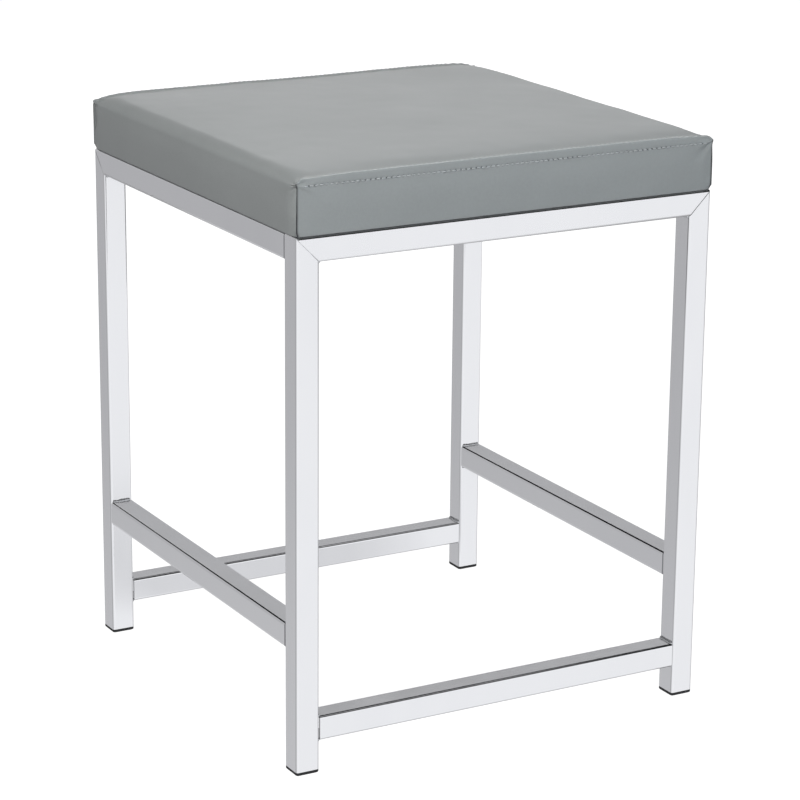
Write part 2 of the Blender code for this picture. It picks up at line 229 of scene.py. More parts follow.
def bake(holder):
    """The plain mesh of an object with its modifiers, which is then removed."""
    graph = bpy.context.evaluated_depsgraph_get()
    mesh = bpy.data.meshes.new_from_object(holder.evaluated_get(graph))
    bpy.data.objects.remove(holder, do_unlink=True)
    return mesh


# Materials

class Nodes:
    """A node tree in the making, with short ways to add nodes."""

    def __init__(self, tree):
        self.tree = tree

    def put(self, socket, value):
        """Links an input to an output, or gives it a plain value."""
        if isinstance(value, bpy.types.NodeSocket):
            self.tree.links.new(value, socket)
        else:
            socket.default_value = value

    def node(self, kind, inputs=None, **settings):
        made = self.tree.nodes.new(kind)
        for name, value in settings.items():
            setattr(made, name, value)
        for name, value in (inputs or {}).items():
            self.put(made.inputs[name], value)
        return made

    def blend(self, share, first, second, way="MIX"):
        """The first colour where the share is 0 and the second, or both multiplied, where it is 1."""
        inputs = {"Factor": share}
        for number, colour in ((6, first), (7, second)):
            inputs[number] = (*colour, 1.0) if isinstance(colour, tuple) else colour
        return self.node("ShaderNodeMix", inputs, data_type="RGBA", blend_type=way).outputs[2]


class Finish(Nodes):
    """The material of a piece, patterned by the place on it."""

    def __init__(self, name):
        self.material = bpy.data.materials.new(name)
        self.material.use_nodes = True
        super().__init__(self.material.node_tree)
        self.shader = self.tree.nodes["Principled BSDF"]
        self.place = self.node("ShaderNodeTexCoord").outputs["Object"]

    def stretched(self, scale, turn=(0.0, 0.0, 0.0)):
        inputs = {"Vector": self.place, "Scale": scale, "Rotation": turn}
        return self.node("ShaderNodeMapping", inputs).outputs["Vector"]

    def noise(self, scale, detail=4.0, roughness=0.55, vector=None):
        inputs = {"Vector": vector or self.place, "Scale": scale, "Detail": detail, "Roughness": roughness}
        return self.node("ShaderNodeTexNoise", inputs).outputs["Fac"]

    def cells(self, scale, feature="F1", vector=None, randomness=1.0):
        inputs = {"Vector": vector or self.place, "Scale": scale, "Randomness": randomness}
        return self.node("ShaderNodeTexVoronoi", inputs, feature=feature).outputs["Distance"]

    def bands(self, scale, distortion, detail=2.0, vector=None, along="X"):
        inputs = {
            "Vector": vector or self.place, "Scale": scale, "Distortion": distortion, "Detail": detail,
        }
        return self.node("ShaderNodeTexWave", inputs, bands_direction=along).outputs["Fac"]

    def attribute(self, name):
        return self.node("ShaderNodeAttribute", attribute_name=name).outputs["Fac"]

    def ramp(self, value, stops):
        """A colour from a value, by stops of (value, colour)."""
        made = self.node("ShaderNodeValToRGB", {"Fac": value})
        elements = made.color_ramp.elements
        while len(elements) < len(stops):
            elements.new(0.5)
        for element, (spot, colour) in zip(elements, stops):
            element.position = spot
            element.color = (*colour, 1.0)
        return made.outputs["Color"]

    def spread(self, value, to, over=(0.0, 1.0)):
        """A value that goes over one range, set on another."""
        inputs = {
            "Value": value, "From Min": over[0], "From Max": over[1], "To Min": to[0], "To Max": to[1],
        }
        return self.node("ShaderNodeMapRange", inputs).outputs["Result"]

    def math(self, operation, a, b):
        return self.node("ShaderNodeMath", {0: a, 1: b}, operation=operation).outputs["Value"]

    def mixed(self, a, share_a, b, share_b):
        """Two patterns added up by their shares."""
        return self.math("ADD", self.math("MULTIPLY", a, share_a), self.math("MULTIPLY", b, share_b))

    def bump(self, height, strength, distance, under=None):
        inputs = {"Height": height, "Strength": strength, "Distance": distance}
        if under is not None:
            inputs["Normal"] = under
        return self.node("ShaderNodeBump", inputs).outputs["Normal"]

    def feed(self, **values):
        """Sets or links the shader's inputs and gives the finished material."""
        for name, value in values.items():
            self.put(self.shader.inputs[name.replace("_", " ")], value)
        return self.material


def polished_chrome():
    """Mirror plate with faint wiping marks, a trace of the steel's waviness under it, and painted shade at
    the butted ends.
    """
    finish = Finish("polished_chrome")
    wipes = finish.noise(26.0, detail=5.0, roughness=0.6, vector=finish.stretched((1.0, 1.0, 0.35)))
    colour = finish.ramp(wipes, [(0.25, (0.90, 0.905, 0.92)), (0.75, (0.94, 0.945, 0.955))])
    # The butted ends are darkened: painted shade in the joints where the bars meet the legs.
    colour = finish.blend(finish.attribute("cut_end"), colour, (0.26, 0.26, 0.265), "MULTIPLY")
    blur = finish.spread(wipes, to=(0.19, 0.25), over=(0.3, 0.7))
    sharper = finish.math("MULTIPLY", finish.attribute("rounded"), 0.11)
    roughness = finish.math("SUBTRACT", blur, sharper)
    waves = finish.bump(finish.noise(55.0, detail=2.0), strength=0.012, distance=0.0004)
    normal = finish.bump(finish.noise(900.0, detail=2.0), strength=0.005, distance=0.00005, under=waves)
    return finish.feed(Metallic=1.0, Base_Color=colour, Roughness=roughness, Normal=normal)


def satin_chrome():
    """Thin plate over pressed steel, left unpolished under the seat."""
    finish = Finish("satin_chrome")
    brushed = finish.stretched((1.0, 9.0, 1.0), turn=(0.0, 0.0, 0.7))
    grain = finish.noise(160.0, detail=6.0, roughness=0.7, vector=brushed)
    clouds = finish.noise(35.0, detail=3.0)
    colour = finish.ramp(clouds, [(0.3, (0.60, 0.61, 0.63)), (0.7, (0.72, 0.73, 0.75))])
    roughness = finish.spread(grain, to=(0.24, 0.42), over=(0.3, 0.7))
    normal = finish.bump(grain, strength=0.12, distance=0.0002)
    return finish.feed(Metallic=1.0, Base_Color=colour, Roughness=roughness, Normal=normal)


def weld_chrome():
    """Plate over a weld bead, duller in the ripples."""
    finish = Finish("weld_chrome")
    scale = finish.noise(420.0, detail=4.0, roughness=0.65)
    colour = finish.ramp(scale, [(0.35, (0.62, 0.63, 0.65)), (0.7, (0.86, 0.87, 0.88))])
    roughness = finish.spread(scale, to=(0.40, 0.58), over=(0.3, 0.7))
    normal = finish.bump(scale, strength=0.25, distance=0.0003)
    return finish.feed(Metallic=1.0, Base_Color=colour, Roughness=roughness, Normal=normal)


def zinc_plate():
    """Zinc-plated steel for the bolts, washers, nuts and staples."""
    finish = Finish("zinc_plate")
    spangle = finish.cells(700.0)
    clouds = finish.noise(240.0, detail=4.0)
    colour = finish.ramp(clouds, [(0.3, (0.46, 0.47, 0.49)), (0.7, (0.64, 0.65, 0.66))])
    roughness = finish.spread(spangle, to=(0.28, 0.46), over=(0.0, 0.8))
    normal = finish.bump(clouds, strength=0.12, distance=0.0002)
    return finish.feed(Metallic=1.0, Base_Color=colour, Roughness=roughness, Normal=normal)


def black_plastic():
    """Moulded plastic with a fine spark-eroded surface and scuffs underneath."""
    finish = Finish("black_plastic")
    scuffs = finish.noise(300.0, detail=5.0, roughness=0.65)
    colour = finish.ramp(scuffs, [(0.4, (0.010, 0.010, 0.011)), (0.75, (0.030, 0.030, 0.032))])
    roughness = finish.spread(scuffs, to=(0.42, 0.62), over=(0.3, 0.7))
    normal = finish.bump(finish.cells(2600.0), strength=0.3, distance=0.0001)
    return finish.feed(Specular_IOR_Level=0.4, Base_Color=colour, Roughness=roughness, Normal=normal)


def plywood():
    """Rotary-cut veneer: plies in the edges, long grain on the faces."""
    finish = Finish("plywood")
    plies = finish.bands(160.0, distortion=1.5, detail=3.0, along="Z")
    grain = finish.noise(60.0, detail=6.0, roughness=0.65, vector=finish.stretched((0.06, 1.0, 3.0)))
    tone = finish.mixed(plies, 0.4, grain, 0.6)
    stops = [(0.25, (0.30, 0.18, 0.09)), (0.5, (0.52, 0.35, 0.20)), (0.8, (0.64, 0.47, 0.30))]
    roughness = finish.spread(grain, to=(0.6, 0.8))
    normal = finish.bump(grain, strength=0.3, distance=0.0003)
    return finish.feed(Base_Color=finish.ramp(tone, stops), Roughness=roughness, Normal=normal)


def grey_vinyl():
    """Coated fabric with a fine pebbled grain, a soft shine, slightly uneven tone, and painted shade in its
    seams and round its hem.
    """
    finish = Finish("grey_vinyl")
    clouds = finish.noise(14.0, detail=4.0, roughness=0.5)
    mottle = finish.noise(420.0, detail=3.0, roughness=0.6)
    tone = finish.mixed(clouds, 0.55, mottle, 0.45)
    colour = finish.ramp(tone, [(0.3, (0.301, 0.319, 0.316)), (0.7, (0.338, 0.356, 0.353))])
    # Darkened by the crease attribute: painted shade in the corner seams, the stitch holes and round the hem.
    colour = finish.blend(finish.attribute("crease"), colour, (0.10, 0.10, 0.11), "MULTIPLY")
    roughness = finish.spread(tone, to=(0.33, 0.43), over=(0.3, 0.7))
    pebbles = finish.cells(1150.0)
    gaps = finish.cells(1150.0, "DISTANCE_TO_EDGE")
    specks = finish.noise(2400.0, detail=3.0, roughness=0.6)
    grain = finish.bump(pebbles, strength=0.24, distance=0.00018)
    grain = finish.bump(gaps, strength=0.16, distance=0.00012, under=grain)
    grain = finish.bump(specks, strength=0.05, distance=0.00005, under=grain)
    return finish.feed(Specular_IOR_Level=0.42, Base_Color=colour, Roughness=roughness, Normal=grain)


def grey_thread():
    """Bonded sewing thread with its twist."""
    finish = Finish("grey_thread")
    slanted = finish.stretched((1.0, 1.0, 1.0), turn=(0.0, 0.9, 0.0))
    twist = finish.bands(700.0, distortion=0.6, vector=slanted)
    colour = finish.ramp(twist, [(0.2, (0.42, 0.435, 0.44)), (0.8, (0.58, 0.595, 0.60))])
    roughness = finish.spread(finish.noise(3000.0, detail=2.0), to=(0.45, 0.7))
    normal = finish.bump(twist, strength=0.5, distance=0.0001)
    finish.feed(Sheen_Weight=0.2, Specular_IOR_Level=0.35)
    return finish.feed(Base_Color=colour, Roughness=roughness, Normal=normal)


def black_dust_cloth():
    """Spun-bonded cloth: matted fibres pressed with rows of small dots."""
    finish = Finish("black_dust_cloth")
    rows = finish.stretched((1.0, 1.0, 0.02), turn=(0.0, 0.0, 0.785))
    pressed = finish.bump(finish.cells(520.0, vector=rows, randomness=0.12), strength=0.5, distance=0.0002)
    fibres = finish.noise(1400.0, detail=5.0, roughness=0.7, vector=finish.stretched((1.0, 0.35, 1.0)))
    colour = finish.ramp(fibres, [(0.35, (0.008, 0.008, 0.009)), (0.75, (0.035, 0.035, 0.037))])
    roughness = finish.spread(fibres, to=(0.8, 1.0))
    normal = finish.bump(fibres, strength=0.4, distance=0.0002, under=pressed)
    finish.feed(Specular_IOR_Level=0.2, Sheen_Weight=0.15)
    return finish.feed(Base_Color=colour, Roughness=roughness, Normal=normal)


CHROME = polished_chrome()
PLATE_CHROME = satin_chrome()
WELD_CHROME = weld_chrome()
ZINC = zinc_plate()
PLASTIC = black_plastic()
PLYWOOD = plywood()
VINYL = grey_vinyl()
THREAD = grey_thread()
DUST_CLOTH = black_dust_cloth()


# Frame

MITRED = ["front_left_leg", "front_right_leg", "back_left_leg", "back_right_leg", "front_top_rail"]
BUTTED = [
    "back_top_rail", "left_top_rail", "right_top_rail",
    "front_stretcher", "back_stretcher", "left_stretcher", "right_stretcher",
]
FLAT_TURN = 0.02
CUT_TURN = math.radians(60)
END_TURN = 0.6
EDGE_MARGIN = 0.0005
STRETCHER_BEVEL = 0.0004
MITRE_BEVEL = 0.00012


def polish_tube(name):
    """A smooth copy of a tube: eased cut ends, and flat faces that stay flat up to their rounded corners."""
    solid = bmesh.new()
    solid.from_mesh(NODES[name].data)
    bmesh.ops.remove_doubles(solid, verts=solid.verts[:], dist=TUBE_MERGE)
    bmesh.ops.join_triangles(
        solid, faces=solid.faces[:], angle_face_threshold=FLAT_TURN, angle_shape_threshold=math.pi
    )
    cut = [e for e in solid.edges if len(e.link_faces) == 2 and e.calc_face_angle() > CUT_TURN]
    bevel = STRETCHER_BEVEL if name.endswith("stretcher") else MITRE_BEVEL
    bmesh.ops.bevel(solid, geom=cut, offset=bevel, segments=1, affect="EDGES")
    walls = [f for f in solid.faces if f.calc_area() > TUBE * TUBE * 2]
    bmesh.ops.inset_individual(solid, faces=walls, thickness=EDGE_MARGIN, use_even_offset=True)
    solid.verts.index_update()
    flat = {v.index for f in walls for v in f.verts}
    points = [tuple(v.co) for v in solid.verts]
    faces = [tuple(v.index for v in f.verts) for f in solid.faces]
    low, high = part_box(name)
    axis = max(range(3), key=lambda n: high[n] - low[n])
    # The butted ends, which the chrome darkens as painted shade in the joints.
    ends = [float(name in BUTTED and abs(f.normal[axis]) > END_TURN) for f in solid.faces]
    solid.free()
    mesh = make_mesh(f"polished_{name}", points, faces)
    mesh.attributes.new("cut_end", "FLOAT", "FACE").data.foreach_set("value", ends)
    rounded = mesh.attributes.new("rounded", "FLOAT", "POINT")
    rounded.data.foreach_set("value", [0.0 if n in flat else 1.0 for n in range(len(points))])
    mesh.shade_smooth()
    mesh.set_sharp_from_angle(angle=SHARP_TURN)
    piece = add_piece(f"polished_{name}", mesh, CHROME, [name])
    piece.visible_glossy = False


for tube in MITRED + BUTTED:
    polish_tube(tube)

# Pieces of the part that stay as they are, with their finishes
KEPT = {
    "glide": PLASTIC, "corner_plate": PLATE_CHROME, "seat_bolt": ZINC, "washer": ZINC, "t_nut": ZINC,
    "seat_board": PLYWOOD,
}
for node_name, node in NODES.items():
    for ending, material in KEPT.items():
        if node_name.endswith(ending):
            node.material_slots[0].material = material


# Things set along a path: stitches, weld ripples and staples

PATH_SOCKETS = [
    ("Path", "Geometry"), ("Shape", "Object"), ("Spacing", "Float"), ("Turn", "Float"),
    ("Smallest", "Float"), ("Largest", "Float"), ("Seed", "Int"), ("Finish", "Material"),
]


def path_tree():
    """Geometry nodes that set a shape along a path, turned with it, and make one mesh of the result."""
    tree = bpy.data.node_groups.new("set_along_path", "GeometryNodeTree")
    identifiers = {}
    for name, kind in PATH_SOCKETS:
        socket = tree.interface.new_socket(name, in_out="INPUT", socket_type=f"NodeSocket{kind}")
        identifiers[name] = socket.identifier
    tree.interface.new_socket("Pieces", in_out="OUTPUT", socket_type="NodeSocketGeometry")
    add = Nodes(tree).node
    given = add("NodeGroupInput").outputs
    curve = add("GeometryNodeMeshToCurve", {0: given["Path"]}).outputs[0]
    spacing = {"Curve": curve, "Length": given["Spacing"]}
    spaced = add("GeometryNodeResampleCurve", spacing, mode="LENGTH").outputs[0]
    tangent = {"Vector": add("GeometryNodeInputTangent").outputs[0]}
    along = add("FunctionNodeAlignRotationToVector", tangent, axis="X", pivot_axis="Z").outputs[0]
    back = add("ShaderNodeMath", {0: given["Turn"], 1: -1.0}, operation="MULTIPLY").outputs[0]
    limits = {"Min": back, "Max": given["Turn"], "Seed": given["Seed"]}
    jitter = add("FunctionNodeRandomValue", limits, data_type="FLOAT_VECTOR").outputs[0]
    turn = add("FunctionNodeEulerToRotation", {0: jitter}).outputs[0]
    both = {"Rotation": along, "Rotate By": turn}
    turned = add("FunctionNodeRotateRotation", both, rotation_space="LOCAL").outputs[0]
    size = add("FunctionNodeRandomValue", {"Seed": given["Seed"]}, data_type="FLOAT")
    ends = [s for s in size.inputs if s.name in ("Min", "Max") and s.type == "VALUE" and s.enabled]
    tree.links.new(given["Smallest"], ends[0])
    tree.links.new(given["Largest"], ends[1])
    grown = next(s for s in size.outputs if s.enabled)
    shape = add("GeometryNodeObjectInfo", {"Object": given["Shape"]}).outputs["Geometry"]
    placing = {"Points": spaced, "Instance": shape, "Rotation": turned, "Scale": grown}
    copies = add("GeometryNodeInstanceOnPoints", placing).outputs[0]
    real = add("GeometryNodeRealizeInstances", {0: copies}).outputs[0]
    coloured = add("GeometryNodeSetMaterial", {"Geometry": real, "Material": given["Finish"]})
    add("NodeGroupOutput", {0: coloured.outputs[0]})
    return tree, identifiers


PATH_TREE, PATH_INPUTS = path_tree()


def set_along(paths, shape, material, spacing, turn, sizes, seed):
    """One mesh of copies of a shape mesh along each of the paths, which are lists of points."""
    points, edges = [], []
    for path in paths:
        edges += [(len(points) + n, len(points) + n + 1) for n in range(len(path) - 1)]
        points += list(path)
    holder = add_object("path", make_mesh("path", points, [], edges))
    pattern = add_object("pattern", shape)
    values = {
        "Shape": pattern, "Spacing": spacing, "Turn": turn, "Smallest": sizes[0], "Largest": sizes[1],
        "Seed": seed, "Finish": material,
    }
    modifier = holder.modifiers.new("set_along_path", "NODES")
    modifier.node_group = PATH_TREE
    for name, value in values.items():
        modifier[PATH_INPUTS[name]] = value
    mesh = bake(holder)
    bpy.data.objects.remove(pattern, do_unlink=True)
    mesh.shade_smooth()
    return mesh


def turned_shape(name, profile, sides):
    """A closed round shape about X, from (x, radius) with its two ends on the axis."""
    points, faces = [(profile[0][0], 0.0, 0.0)], []
    for x, radius in profile[1:-1]:
        for side in range(sides):
            angle = math.tau * side / sides
            points.append((x, radius * math.cos(angle), radius * math.sin(angle)))
    points.append((profile[-1][0], 0.0, 0.0))
    rings = len(profile) - 2
    last = len(points) - 1
    for side in range(sides):
        after = (side + 1) % sides
        faces.append((0, 1 + after, 1 + side))
        for ring in range(rings - 1):
            low, high = 1 + ring * sides, 1 + (ring + 1) * sides
            faces.append((low + side, low + after, high + after, high + side))
        tail = 1 + (rings - 1) * sides
        faces.append((tail + side, tail + after, last))
    mesh = make_mesh(name, points, faces)
    turn_out(mesh)
    return mesh


# Weld beads in the inside corners of the frame

BEAD_RADIUS = 0.0017
BEAD_STEP = 0.0008
BEAD_TURN = 0.16
BEAD_SIDES = 8
BEAD_MARGIN = 0.0026
RIPPLE_LENGTH = 0.75
RIPPLE_STEPS = [-1.0, -0.8, -0.35, 0.35, 0.8, 1.0]
WANDER = 0.0003
WANDER_STEPS = 8
WANDER_WAVES = 260
WELD_SEED = 7
FRAME_WELD = {"sizes": (0.82, 1.12), "seed": 7}
PLATE_WELD = {"sizes": (0.85, 1.15), "seed": 11}
PLATE_WELD_START = 0.010
PLATE_WELD_END = 0.014
PLATE_WELD_NUMBER = 50

noise.seed_set(WELD_SEED)


def ripple_shape():
    half = BEAD_RADIUS * RIPPLE_LENGTH
    profile = [(half * s, BEAD_RADIUS * math.sqrt(max(1 - s * s, 0.0))) for s in RIPPLE_STEPS]
    return turned_shape("weld_ripple", profile, BEAD_SIDES)


def bar_end_lines(axis, z):
    """Lines across the ends of the bars along an axis, at a height, on the legs' inner faces."""
    near, far = INNER_X + BEAD_MARGIN, INNER_X + TUBE - BEAD_MARGIN
    if axis == "x":
        return [[(x * INNER_X, y * near, z), (x * INNER_X, y * far, z)] for x, y in CORNERS]
    return [[(x * near, y * INNER_Y, z), (x * far, y * INNER_Y, z)] for x, y in CORNERS]


def wander(path, number):
    """A path with more points, which wander a little as a hand-held torch does."""
    start, end = Vector(path[0]), Vector(path[1])
    points = []
    for step in range(WANDER_STEPS + 1):
        spot = start.lerp(end, step / WANDER_STEPS)
        points.append(spot + noise.noise_vector(spot * WANDER_WAVES + Vector((number, 0, 0))) * WANDER)
    return points


def weld(name, seams, number, weld_look):
    """Lays beads along the seams, which are numbered from the given number."""
    beads = [wander(seam, number + n) for n, seam in enumerate(seams)]
    mesh = set_along(beads, ripple_shape(), WELD_CHROME, BEAD_STEP, BEAD_TURN, **weld_look)
    add_piece(name, mesh, WELD_CHROME)


def weld_frame():
    seams = []
    for bar, axis in (("front_stretcher", "x"), ("left_stretcher", "y")):
        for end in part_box(bar):
            seams += bar_end_lines(axis, end.z)
    seams += bar_end_lines("x", RAIL_BOTTOM) + bar_end_lines("y", RAIL_BOTTOM)
    weld("frame_weld_beads", seams, 0, FRAME_WELD)


def weld_plates():
    """Short beads under the corner plates, along the rails."""
    z = PLATE_LOW.z
    start, end = PLATE_WELD_START, PLATE_SIDE - PLATE_WELD_END
    seams = []
    for side_x, side_y in CORNERS:
        x, y = side_x * INNER_X, side_y * INNER_Y
        seams.append([(x - side_x * start, y, z), (x - side_x * end, y, z)])
        seams.append([(x, y - side_y * start, z), (x, y - side_y * end, z)])
    weld("plate_weld_beads", seams, PLATE_WELD_NUMBER, PLATE_WELD)


weld_frame()
weld_plates()


# Padded seat

def lean(z):
    return np.clip((z - FOAM_BOTTOM) / (SEAM_Z - FOAM_BOTTOM), 0.0, 1.0)


def end_reach(x, z):
    return HALF_DEPTH - END_PULL * (1 - (x / HALF_WIDTH) ** 2) * lean(z)


def side_reach(y, z):
    return HALF_WIDTH - SIDE_PULL * (1 - (y / HALF_DEPTH) ** 2) * lean(z + SHOULDER_DROP)


def shoulder_angle(distance):
    """The angle round the shoulder, from nearly upright at the side to level on the top."""
    return SHOULDER_START + (np.pi / 2 - SHOULDER_START) * np.clip(distance / SHOULDER_ARC, 0.0, 1.0)


def tip_fall(inset):
    """How far the edge dives at a corner's tip, from 1 at the tip to 0."""
    return 1 - np.sin(np.pi / 2 * np.clip(inset / TIP_RUN, 0.0, 1.0))


def side_marks(half, fine, even, growth):
    """Distances from a corner to the middle of a side: fine steps by the corner, then even ones."""
    marks, step = [0.0], fine
    while step < even:
        marks.append(marks[-1] + step)
        step *= growth
    rest = half - marks[-1]
    count = max(round(rest / even), 1)
    marks += [marks[-1] + rest * (n + 1) / count for n in range(count)]
    return np.array(marks)


def both_ways(marks):
    """Distances from the nearer corner along a whole side, and the matching place from -half to half."""
    half = marks[-1]
    distance = np.concatenate([marks, marks[-2::-1]])
    place = np.concatenate([marks - half, half - marks[-2::-1]])
    return distance, place


def under_lines(turn_steps):
    """Lines as (in from the side, height): round the lower edge, round the hem, and up to the foam."""
    turns = [math.pi / 2 * n / turn_steps for n in range(turn_steps + 1)]
    low = HEM_BOTTOM + BOTTOM_RADIUS
    inner_low = HEM_BOTTOM + COVER + INNER_RADIUS
    hem = HALF_WIDTH - HEM_END
    lines = [(BOTTOM_RADIUS * (1 - math.cos(a)), low - BOTTOM_RADIUS * math.sin(a)) for a in turns[1:]]
    lines.append((hem - HEM_ROUNDING, HEM_BOTTOM))
    lines.append((hem, HEM_BOTTOM + COVER / 2))
    lines.append((hem - HEM_ROUNDING, HEM_BOTTOM + COVER))
    for angle in reversed(turns):
        inset = COVER + INNER_RADIUS * (1 - math.cos(angle))
        lines.append((inset, inner_low - INNER_RADIUS * math.sin(angle)))
    return lines + [(inset, FOAM_BOTTOM) for inset in (COVER, *UNDER_MARKS)]


class Pad:
    """The closed skin of the padded seat: a top grid, then lines that run round it and under the board."""

    def __init__(self, marks_x, marks_y, edge, wall_steps, turn_steps):
        self.from_corner_x, self.place_x = both_ways(marks_x)
        self.from_corner_y, self.place_y = both_ways(marks_y)
        self.columns, self.rows = len(self.place_x), len(self.place_y)
        self.edge = edge
        self.edge_lines = len(edge) - 1
        self.wall_shares = [((n + 1) / wall_steps) ** WALL_POWER for n in range(wall_steps)]
        self.turn_lines = turn_steps
        self.under = under_lines(turn_steps)
        self.shown_lines = self.edge_lines + wall_steps
        self.lines = self.shown_lines + len(self.under)
        self.end_shares = {
            "front": self.edge_share(FRONT_END_DROP, FRONT_TIP_DROP),
            "back": self.edge_share(BACK_END_DROP, 0.0),
        }
        self.top = self.top_points()
        self.sides = self.wall_points()
        self.join()

    def edge_share(self, end_drop, tip_drop):
        """How full the sewn edge is at each column of an end: it is less at the corners."""
        angle = shoulder_angle(self.from_corner_x)
        fall = end_drop * (1 - np.sin(angle))
        fall = fall + tip_drop * tip_fall(SHOULDER_END_RUN * (1 - np.cos(angle)))
        return 1 - fall / STITCH_DROP

    def top_points(self):
        """The top as [column, row]: crowned, with shoulders on the left and right and dips by the ends."""
        angle = shoulder_angle(self.from_corner_x)[:, None]
        inward = (self.from_corner_x - SHOULDER_ARC) / (HALF_WIDTH - SHOULDER_ARC)
        inward = np.clip(inward, 0.0, 1.0)[:, None]
        station = (self.place_y / HALF_DEPTH)[None, :]
        at_front = station < 0
        near_end = np.abs(station) ** END_POWER
        run = SHOULDER_RUN + (SHOULDER_END_RUN - SHOULDER_RUN) * near_end
        end_drop = np.where(at_front, FRONT_END_DROP, BACK_END_DROP)
        drop = SHOULDER_DROP + (end_drop - SHOULDER_DROP) * near_end
        centre = HALF_WIDTH - SIDE_PULL * (1 - station**2) - run
        out = np.where(inward > 0, centre * (1 - inward), centre + run * np.cos(angle))
        x = np.sign(self.place_x)[:, None] * out
        tip_drop = np.where(at_front, FRONT_TIP_DROP, 0.0) * np.abs(station) ** TIP_POWER
        z = SEAM_Z - drop * (1 - np.sin(angle)) - tip_drop * tip_fall(run * (1 - np.cos(angle)))
        across = 1 - np.abs(x / HALF_WIDTH) ** CROWN_POWER
        z = z + SEAT_CROWN * across * (1 - np.abs(station) ** CROWN_POWER)
        front_share, back_share = (self.end_shares[end][:, None] for end in ("front", "back"))
        share = np.where(at_front, front_share, back_share)
        y = station * (end_reach(x, z) - EDGE_BACK * share)
        behind = (1 - np.abs(station)) * HALF_DEPTH
        dip = DIP_DEPTH * behind / DIP_BEHIND * np.exp(1 - behind / DIP_BEHIND)
        z = z - share * (self.edge[0][1] * bell(behind / EDGE_EASE) + dip)
        return np.stack([x, y, z], axis=-1)

    def wall_points(self):
        """The walls as [column, line] for the front, back, left and right, joined at the corners."""
        front_share, back_share = self.end_shares["front"], self.end_shares["back"]
        least = np.where(self.place_y < 0, front_share[0], back_share[0])
        side_share = least + (1 - least) * smooth_step(self.from_corner_y / PLAIN_REACH)
        plain = [(0.0, PLAIN_EDGE * n / self.edge_lines) for n in range(self.edge_lines + 1)]
        sides = {}
        for side, sign, row in (("front", -1, 0), ("back", 1, -1)):
            start = self.top[:, row]
            share = self.end_shares[side]
            along, z, far = self.side_points(
                self.edge, FRONT_ROUNDING, start[:, 0], start[:, 2] + self.edge[0][1] * share,
                self.place_x, self.from_corner_x, share, HALF_WIDTH, end_reach,
            )
            sides[side] = np.stack([along, sign * far, z], axis=-1)
        for side, sign, column in (("left", -1, 0), ("right", 1, -1)):
            start = self.top[column]
            along, z, far = self.side_points(
                plain, SIDE_ROUNDING, start[:, 1], start[:, 2],
                self.place_y, self.from_corner_y, side_share, HALF_DEPTH, side_reach,
            )
            sides[side] = np.stack([sign * far, along, z], axis=-1)
        for end, row in (("front", 0), ("back", -1)):
            for side, column in (("left", 0), ("right", -1)):
                middle = (sides[end][column] + sides[side][row]) / 2
                sides[end][column] = middle
                sides[side][row] = middle
        return sides

    def side_points(self, edge, rounding, along_top, z_top, along_low, corner, edge_share, half, reach):
        """Places along a side, heights and distances from the middle, each as [column, line]."""
        along, z, far = [], [], []
        sewn = edge is SEWN_EDGE
        low = HEM_BOTTOM + BOTTOM_RADIUS
        side = np.sign(along_low)
        slit = SEAM_DEPTH * np.clip(1 - corner / SEAM_WIDTH, 0.0, 1.0)
        welt = WELT_RISE * bell((corner - SEAM_WIDTH) / WELT_WIDTH) * (corner > 0)
        tuck = CORNER_TUCK * bell(corner / TUCK_WIDTH)
        depth, width = rounding
        set_back = slit + depth * np.clip(1 - corner / width, 0.0, 1.0) ** 2 * (corner > 0)
        softer = ROUND_SHARE * bell(corner / ROUND_REACH) * sewn
        clear = np.clip(corner / SWELL_REACH, 0.0, 1.0)
        full = (END_SWELL if sewn else SIDE_SWELL) * clear
        swell_top = z_top - edge[-1][1] * edge_share * sewn

        def bulge(height):
            """How far the panel swells out at a height."""
            return full * np.sin(np.pi * np.clip((swell_top - height) / (swell_top - low), 0.0, 1.0))

        for n, (out, down) in enumerate(edge[1:], 1):
            t = smooth_step(n / self.edge_lines)
            spot = along_top * (1 - t) + along_low * t
            if n <= ROUND_LINES:
                angle = math.pi / 2 * n / ROUND_LINES
                out = out + softer * (EDGE_BACK * (math.sin(angle) - 1) - out)
                down = down + softer * (edge[0][1] + ROUND_DROP * (1 - math.cos(angle)) - down)
            height = z_top - down * edge_share
            deep = min(n / SEAM_START_LINES, 1.0)
            along.append(spot - side * (slit - welt) * deep)
            z.append(height)
            far.append(reach(spot, height) + out * edge_share + bulge(height) - set_back * deep)
        last = z[-1]
        for part in self.wall_shares:
            height = last + (low - last) * part
            deep = SEAM_BY_BOARD + (1 - SEAM_BY_BOARD) * smooth_step((height - FOAM_BOTTOM) / SEAM_FADE)
            tucked = tuck * smooth_step(1 - (height - HEM_BOTTOM) / TUCK_HEIGHT)
            swell = edge[-1][0] * edge_share * (1 - part) * clear + bulge(height)
            along.append(along_low - side * (slit * deep - welt + tucked))
            z.append(height)
            far.append(reach(along_low, height) + swell - set_back * deep - tucked)
        for n, (inset, height) in enumerate(self.under):
            fade = max(1 - n / (self.turn_lines + 1), 0.0)
            deep = SEAM_BY_BOARD * fade
            spot = along_low * (half - inset) / half
            along.append(spot - side * (slit * deep + (tuck - welt) * fade))
            z.append(np.full_like(along_low, height))
            far.append(half - inset - set_back * deep - tuck * fade)
        return np.stack(along, 1), np.stack(z, 1), np.stack(far, 1)

